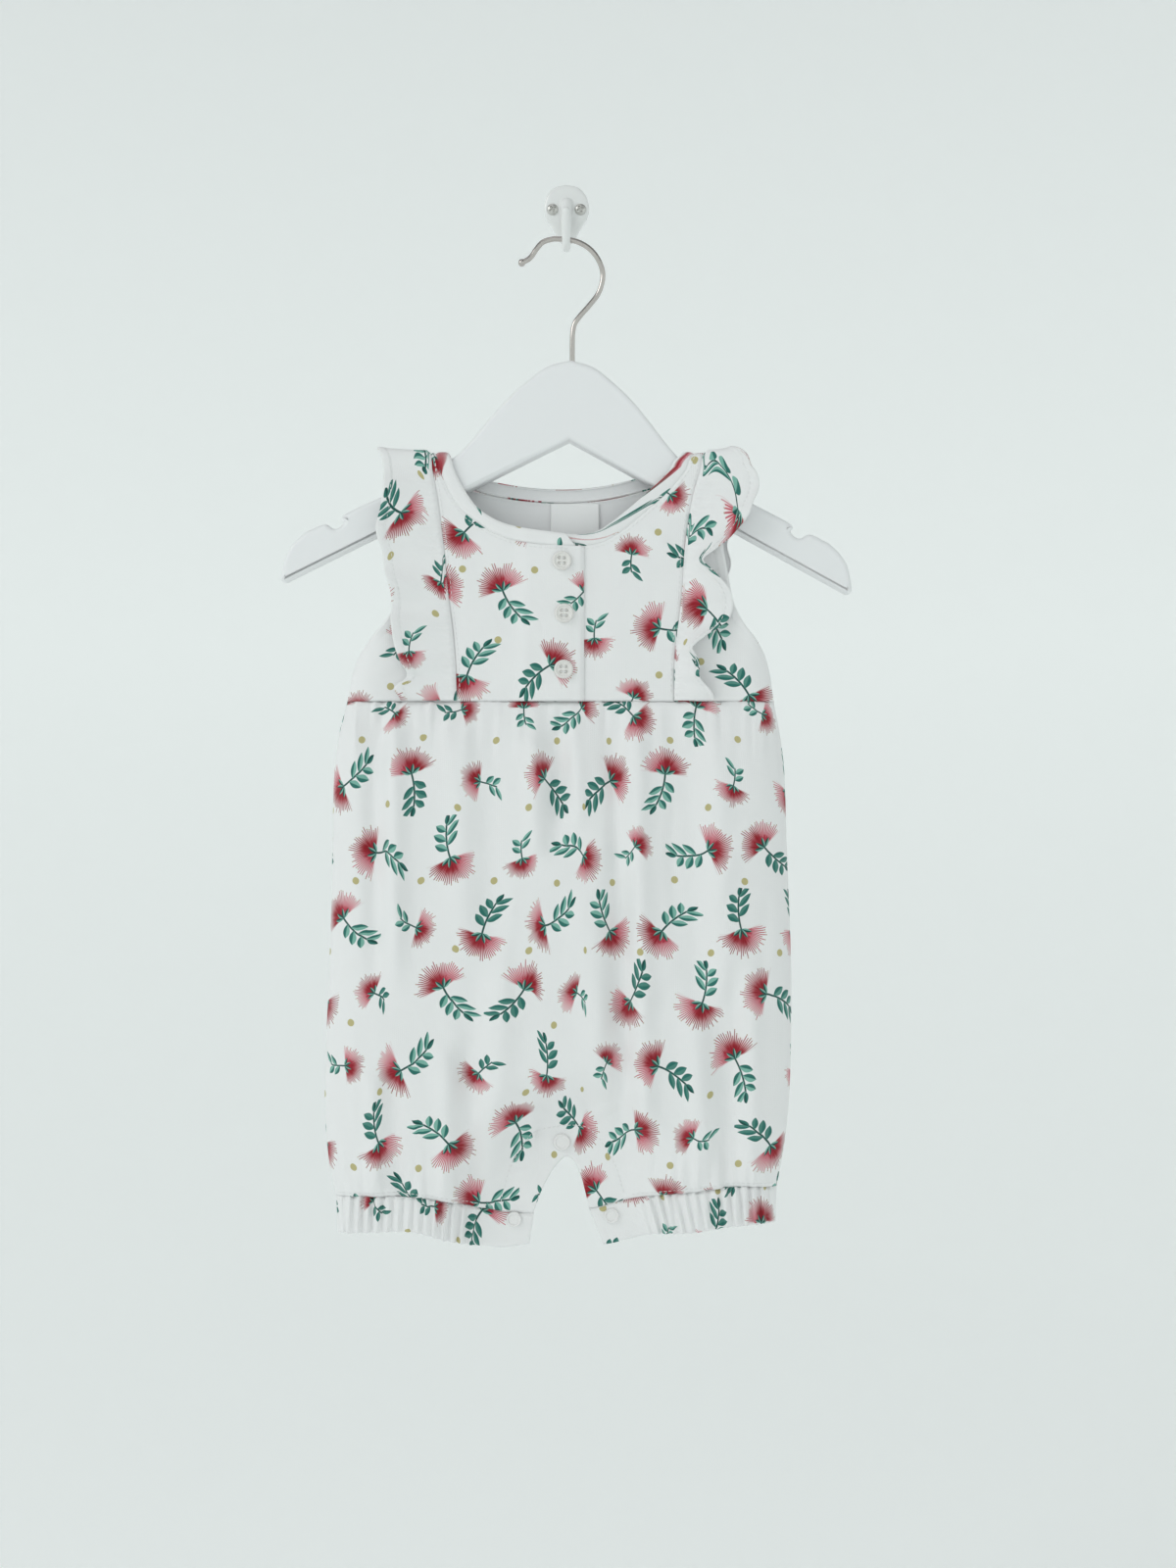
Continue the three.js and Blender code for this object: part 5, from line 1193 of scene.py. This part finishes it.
def tube(line, radii, sides=12):
    """Places and faces of a round bar along a line in millimetres, with rounded ends."""
    line = np.asarray(line, float)
    ahead = np.gradient(line, axis=0)
    ahead /= np.linalg.norm(ahead, axis=-1, keepdims=True)
    across = np.array([1.0, 0, 0]) if abs(ahead[0][0]) < 0.9 else np.array([0, 1.0, 0])
    radii = np.broadcast_to(radii, len(line))
    stations = []
    for i, way in enumerate(ahead):
        across = across - way * (across @ way)
        across = across / np.linalg.norm(across)
        frame_here = (across, np.cross(way, across))
        caps = []
        if i == 0:
            caps = [(-math.cos(t), math.sin(t)) for t in np.linspace(0, math.pi / 2, 6)[:-1]]
        stations += [(line[i] + way * radii[i] * c, max(radii[i] * s, 0.01), frame_here) for c, s in caps]
        stations.append((line[i], radii[i], frame_here))
        if i == len(line) - 1:
            caps = [(math.cos(t), math.sin(t)) for t in np.linspace(math.pi / 2, 0, 6)[1:]]
            stations += [(line[i] + way * radii[i] * c, max(radii[i] * s, 0.01), frame_here) for c, s in caps]
    turns = np.linspace(0, 2 * math.pi, sides, endpoint=False)
    points = np.array([
        [c + size * (math.cos(t) * n + math.sin(t) * m) for t in turns] for c, size, (n, m) in stations
    ])
    return points.reshape(-1, 3), grid_faces(len(stations), sides, closed=True)


def joined(parts):
    points, faces, count = [], [], 0
    for place, face in parts:
        points.append(place)
        faces.append(face + count)
        count += len(place)
    return np.concatenate(points), np.concatenate(faces)


def curve_through(rows, names, count):
    """Places evenly spread over a table's rows, on a smooth curve through them."""
    k = np.linspace(0, rows["row"][-1], count)
    return np.stack([lookup(rows, "row", k, name) for name in names], -1)


def hanger_board():
    crest, arm = curve_through(BOARD_CREST, ("x", "z"), 40), curve_through(BOARD_ARM, ("x", "z"), 90)
    half = np.concatenate([crest, arm])
    outline = np.concatenate([(half * [-1, 1])[::-1][:-1], half, [[0, BOARD_APEX]]])
    edge = HANGER["edge"]
    curve = bpy.data.curves.new("hanger_board_outline", "CURVE")
    curve.dimensions = "2D"
    curve.fill_mode = "BOTH"
    curve.extrude = ((HANGER["back"] - HANGER["front"]) / 2 - edge) * MM
    curve.bevel_depth = edge * MM
    curve.bevel_resolution = 6
    curve.offset = -edge * MM
    line = curve.splines.new("POLY")
    line.points.add(len(outline) - 1)
    for point, (x, z) in zip(line.points, outline):
        point.co = (x * MM, z * MM, 0, 1)
    line.use_cyclic_u = True
    shape = add_object("hanger_board_shape", curve)
    graph = bpy.context.evaluated_depsgraph_get()
    mesh = bpy.data.meshes.new_from_object(shape.evaluated_get(graph))
    bpy.data.objects.remove(shape)
    local = np.empty(len(mesh.vertices) * 3)
    mesh.vertices.foreach_get("co", local)
    along, up, thick = local.reshape(-1, 3).T
    cos, sin = math.cos(HANGER["tilt"]), math.sin(HANGER["tilt"])
    x = HANGER["x"] * MM + along * cos + up * sin
    z = HANGER["top"] * MM - along * sin + up * cos
    middle = (HANGER["front"] + HANGER["back"]) / 2 * MM
    mesh.vertices.foreach_set("co", np.stack([x, middle - thick, z], -1).reshape(-1))
    mesh.update()
    fasten(add_object("hanger_board_wood", mesh), "hanger_board", "wood")


def hanger_wire():
    path = curve_through(WIRE_PATH, ("x", "z"), 150)
    low = np.linspace(WIRE_PATH["z"][-1] - 0.5, HANGER["top"] - WIRE["depth"] + WIRE["radius"], 12)
    path = np.concatenate([path, np.stack([np.full(12, WIRE_PATH["x"][-1]), low], -1)])
    line = np.stack([path[:, 0], np.full(len(path), BOARD_MIDDLE), path[:, 1]], -1)
    ball = np.stack([line[0], line[0] + (line[1] - line[0]) * 0.02])
    points, faces = joined([tube(line, WIRE["radius"], 20), tube(ball, WIRE["end"], 24)])
    piece = add_object("hanger_wire_rod", smooth_mesh("hanger_wire", points, faces.tolist()))
    fasten(piece, "hanger_wire", "chrome")


def wall_hook():
    right = curve_through(PLATE_HALF, ("x", "z"), 40)
    outline = np.concatenate([right, (right[1:-1] * [-1, 1])[::-1]])
    centre = np.array([0, -0.5])
    rings = [np.stack([outline[:, 0] * 0.001, np.zeros(len(outline)), centre[1] + outline[:, 1] * 0.001], -1)]
    for share in np.linspace(0, 1, 16):
        ring = centre + (outline - centre) * max(1 - share**2.2, 0.001)
        y = -PLATE_THICK * (1 - (1 - share) ** 3) ** (1 / 3)
        rings.append(np.stack([ring[:, 0], np.full(len(ring), y), ring[:, 1]], -1))
    plate = np.array(rings)
    prong = curve_through(PRONG, ("y", "z", "radius"), 90)
    line = np.stack([np.zeros(len(prong)), prong[:, 0], prong[:, 1]], -1)
    plate_faces = grid_faces(len(plate), len(outline), closed=True)
    points, faces = joined([(plate.reshape(-1, 3), plate_faces), tube(line, prong[:, 2], 24)])
    piece = add_object("wall_hook_casting", smooth_mesh("wall_hook", points, faces.tolist()))
    remesh = piece.modifiers.new("Casting", "REMESH")
    remesh.mode = "VOXEL"
    remesh.voxel_size = 0.4 * MM
    remesh.use_smooth_shade = True
    soften = piece.modifiers.new("Soften", "SMOOTH")
    soften.factor = 0.5
    soften.iterations = 8
    fasten(piece, "wall_hook", "enamel")


# Studio, in metres: a pale bowl whose floor bends up into its wall, and three soft lamps


STUDIO = {"floor": -0.95, "radius": 2.6, "top": 1.9, "bend": 0.9, "glow": 0.245, "air": 0.3, "turns": 96}
LAMP_AIM = Vector((0, 0, -0.3))
# Name, place, size and power
LAMPS = (
    ("key_light", (-1.5, -1.1, 0.9), 0.9, 8.0),
    ("fill_light", (1.6, -1.5, 0.0), 1.8, 0.8),
    ("top_light", (-0.3, -0.5, 1.4), 1.0, 2.0),
)


def studio():
    floor, bend = STUDIO["floor"], STUDIO["bend"]
    flat = STUDIO["radius"] - bend
    corner = np.linspace(0, math.pi / 2, 24)[1:]
    profile = [(0.0, floor), (flat, floor)]
    profile += [(flat + bend * math.sin(t), floor + bend - bend * math.cos(t)) for t in corner]
    profile += [(STUDIO["radius"], STUDIO["top"])]
    turns = np.linspace(0, 2 * math.pi, STUDIO["turns"], endpoint=False)
    points = np.array([[(r * math.cos(t), r * math.sin(t), z) for t in turns] for r, z in profile])
    faces = grid_faces(len(profile), STUDIO["turns"], closed=True)
    bowl = add_object("studio_bowl", smooth_mesh("studio_bowl", points / MM, faces.tolist()))
    paint = plain_material("studio_paint", rgb(238, 241, 240), 0.9)
    shader = paint.node_tree.nodes["Principled BSDF"]
    shader.inputs["Emission Color"].default_value = (*rgb(238, 242, 241), 1)
    shader.inputs["Emission Strength"].default_value = STUDIO["glow"]
    bowl.data.materials.append(paint)

    for name, place, size, power in LAMPS:
        light = bpy.data.lights.new(name, "AREA")
        light.size = size
        light.energy = power
        lamp = add_object(name, light)
        lamp.location = place
        lamp.rotation_euler = (LAMP_AIM - Vector(place)).to_track_quat("-Z", "Y").to_euler()
        lamp.visible_camera = False

    world = bpy.data.worlds.new("studio_air")
    bpy.context.scene.world = world
    world.use_nodes = True
    air = world.node_tree.nodes["Background"]
    air.inputs["Color"].default_value = (*rgb(238, 242, 244), 1)
    air.inputs["Strength"].default_value = STUDIO["air"]


def camera():
    eye = bpy.data.cameras.new("photo_camera")
    eye.lens = LENS
    eye.sensor_width = SENSOR
    holder = add_object("photo_camera", eye)
    holder.location = (VIEW_CENTRE_X * MM, -VIEW_DISTANCE * MM, VIEW_HEIGHT * MM)
    holder.rotation_euler = (math.radians(90), 0, 0)
    bpy.context.scene.camera = holder
    bpy.context.scene.view_settings.view_transform = "Standard"


front_centre("left", PLACKET_EDGE, placket_lift, (12, 5))
front_centre("right", PLACKET_UNDER, no_lift, (140, 60))
bodice_side("left", "front", (260, 30))
bodice_side("right", "front", (330, 90))
back_centre((420, 15))
bodice_side("left", "back", (620, 50))
bodice_side("right", "back", (700, 10))
ruffle("left", (800, 22))
ruffle("right", (870, 75))
neckband((950, 8))
neck_label()
lower("front", (1000, 12), 220, 180)
lower("back", (1400, 40), 180, 140)
cuff("left", "front", (1800, 14))
cuff("left", "back", (1930, 23))
cuff("right", "front", (2060, 32))
cuff("right", "back", (2190, 41))
fastenings()
sewing("garment_stitching")
hanger_board()
hanger_wire()
wall_hook()
studio()
camera()
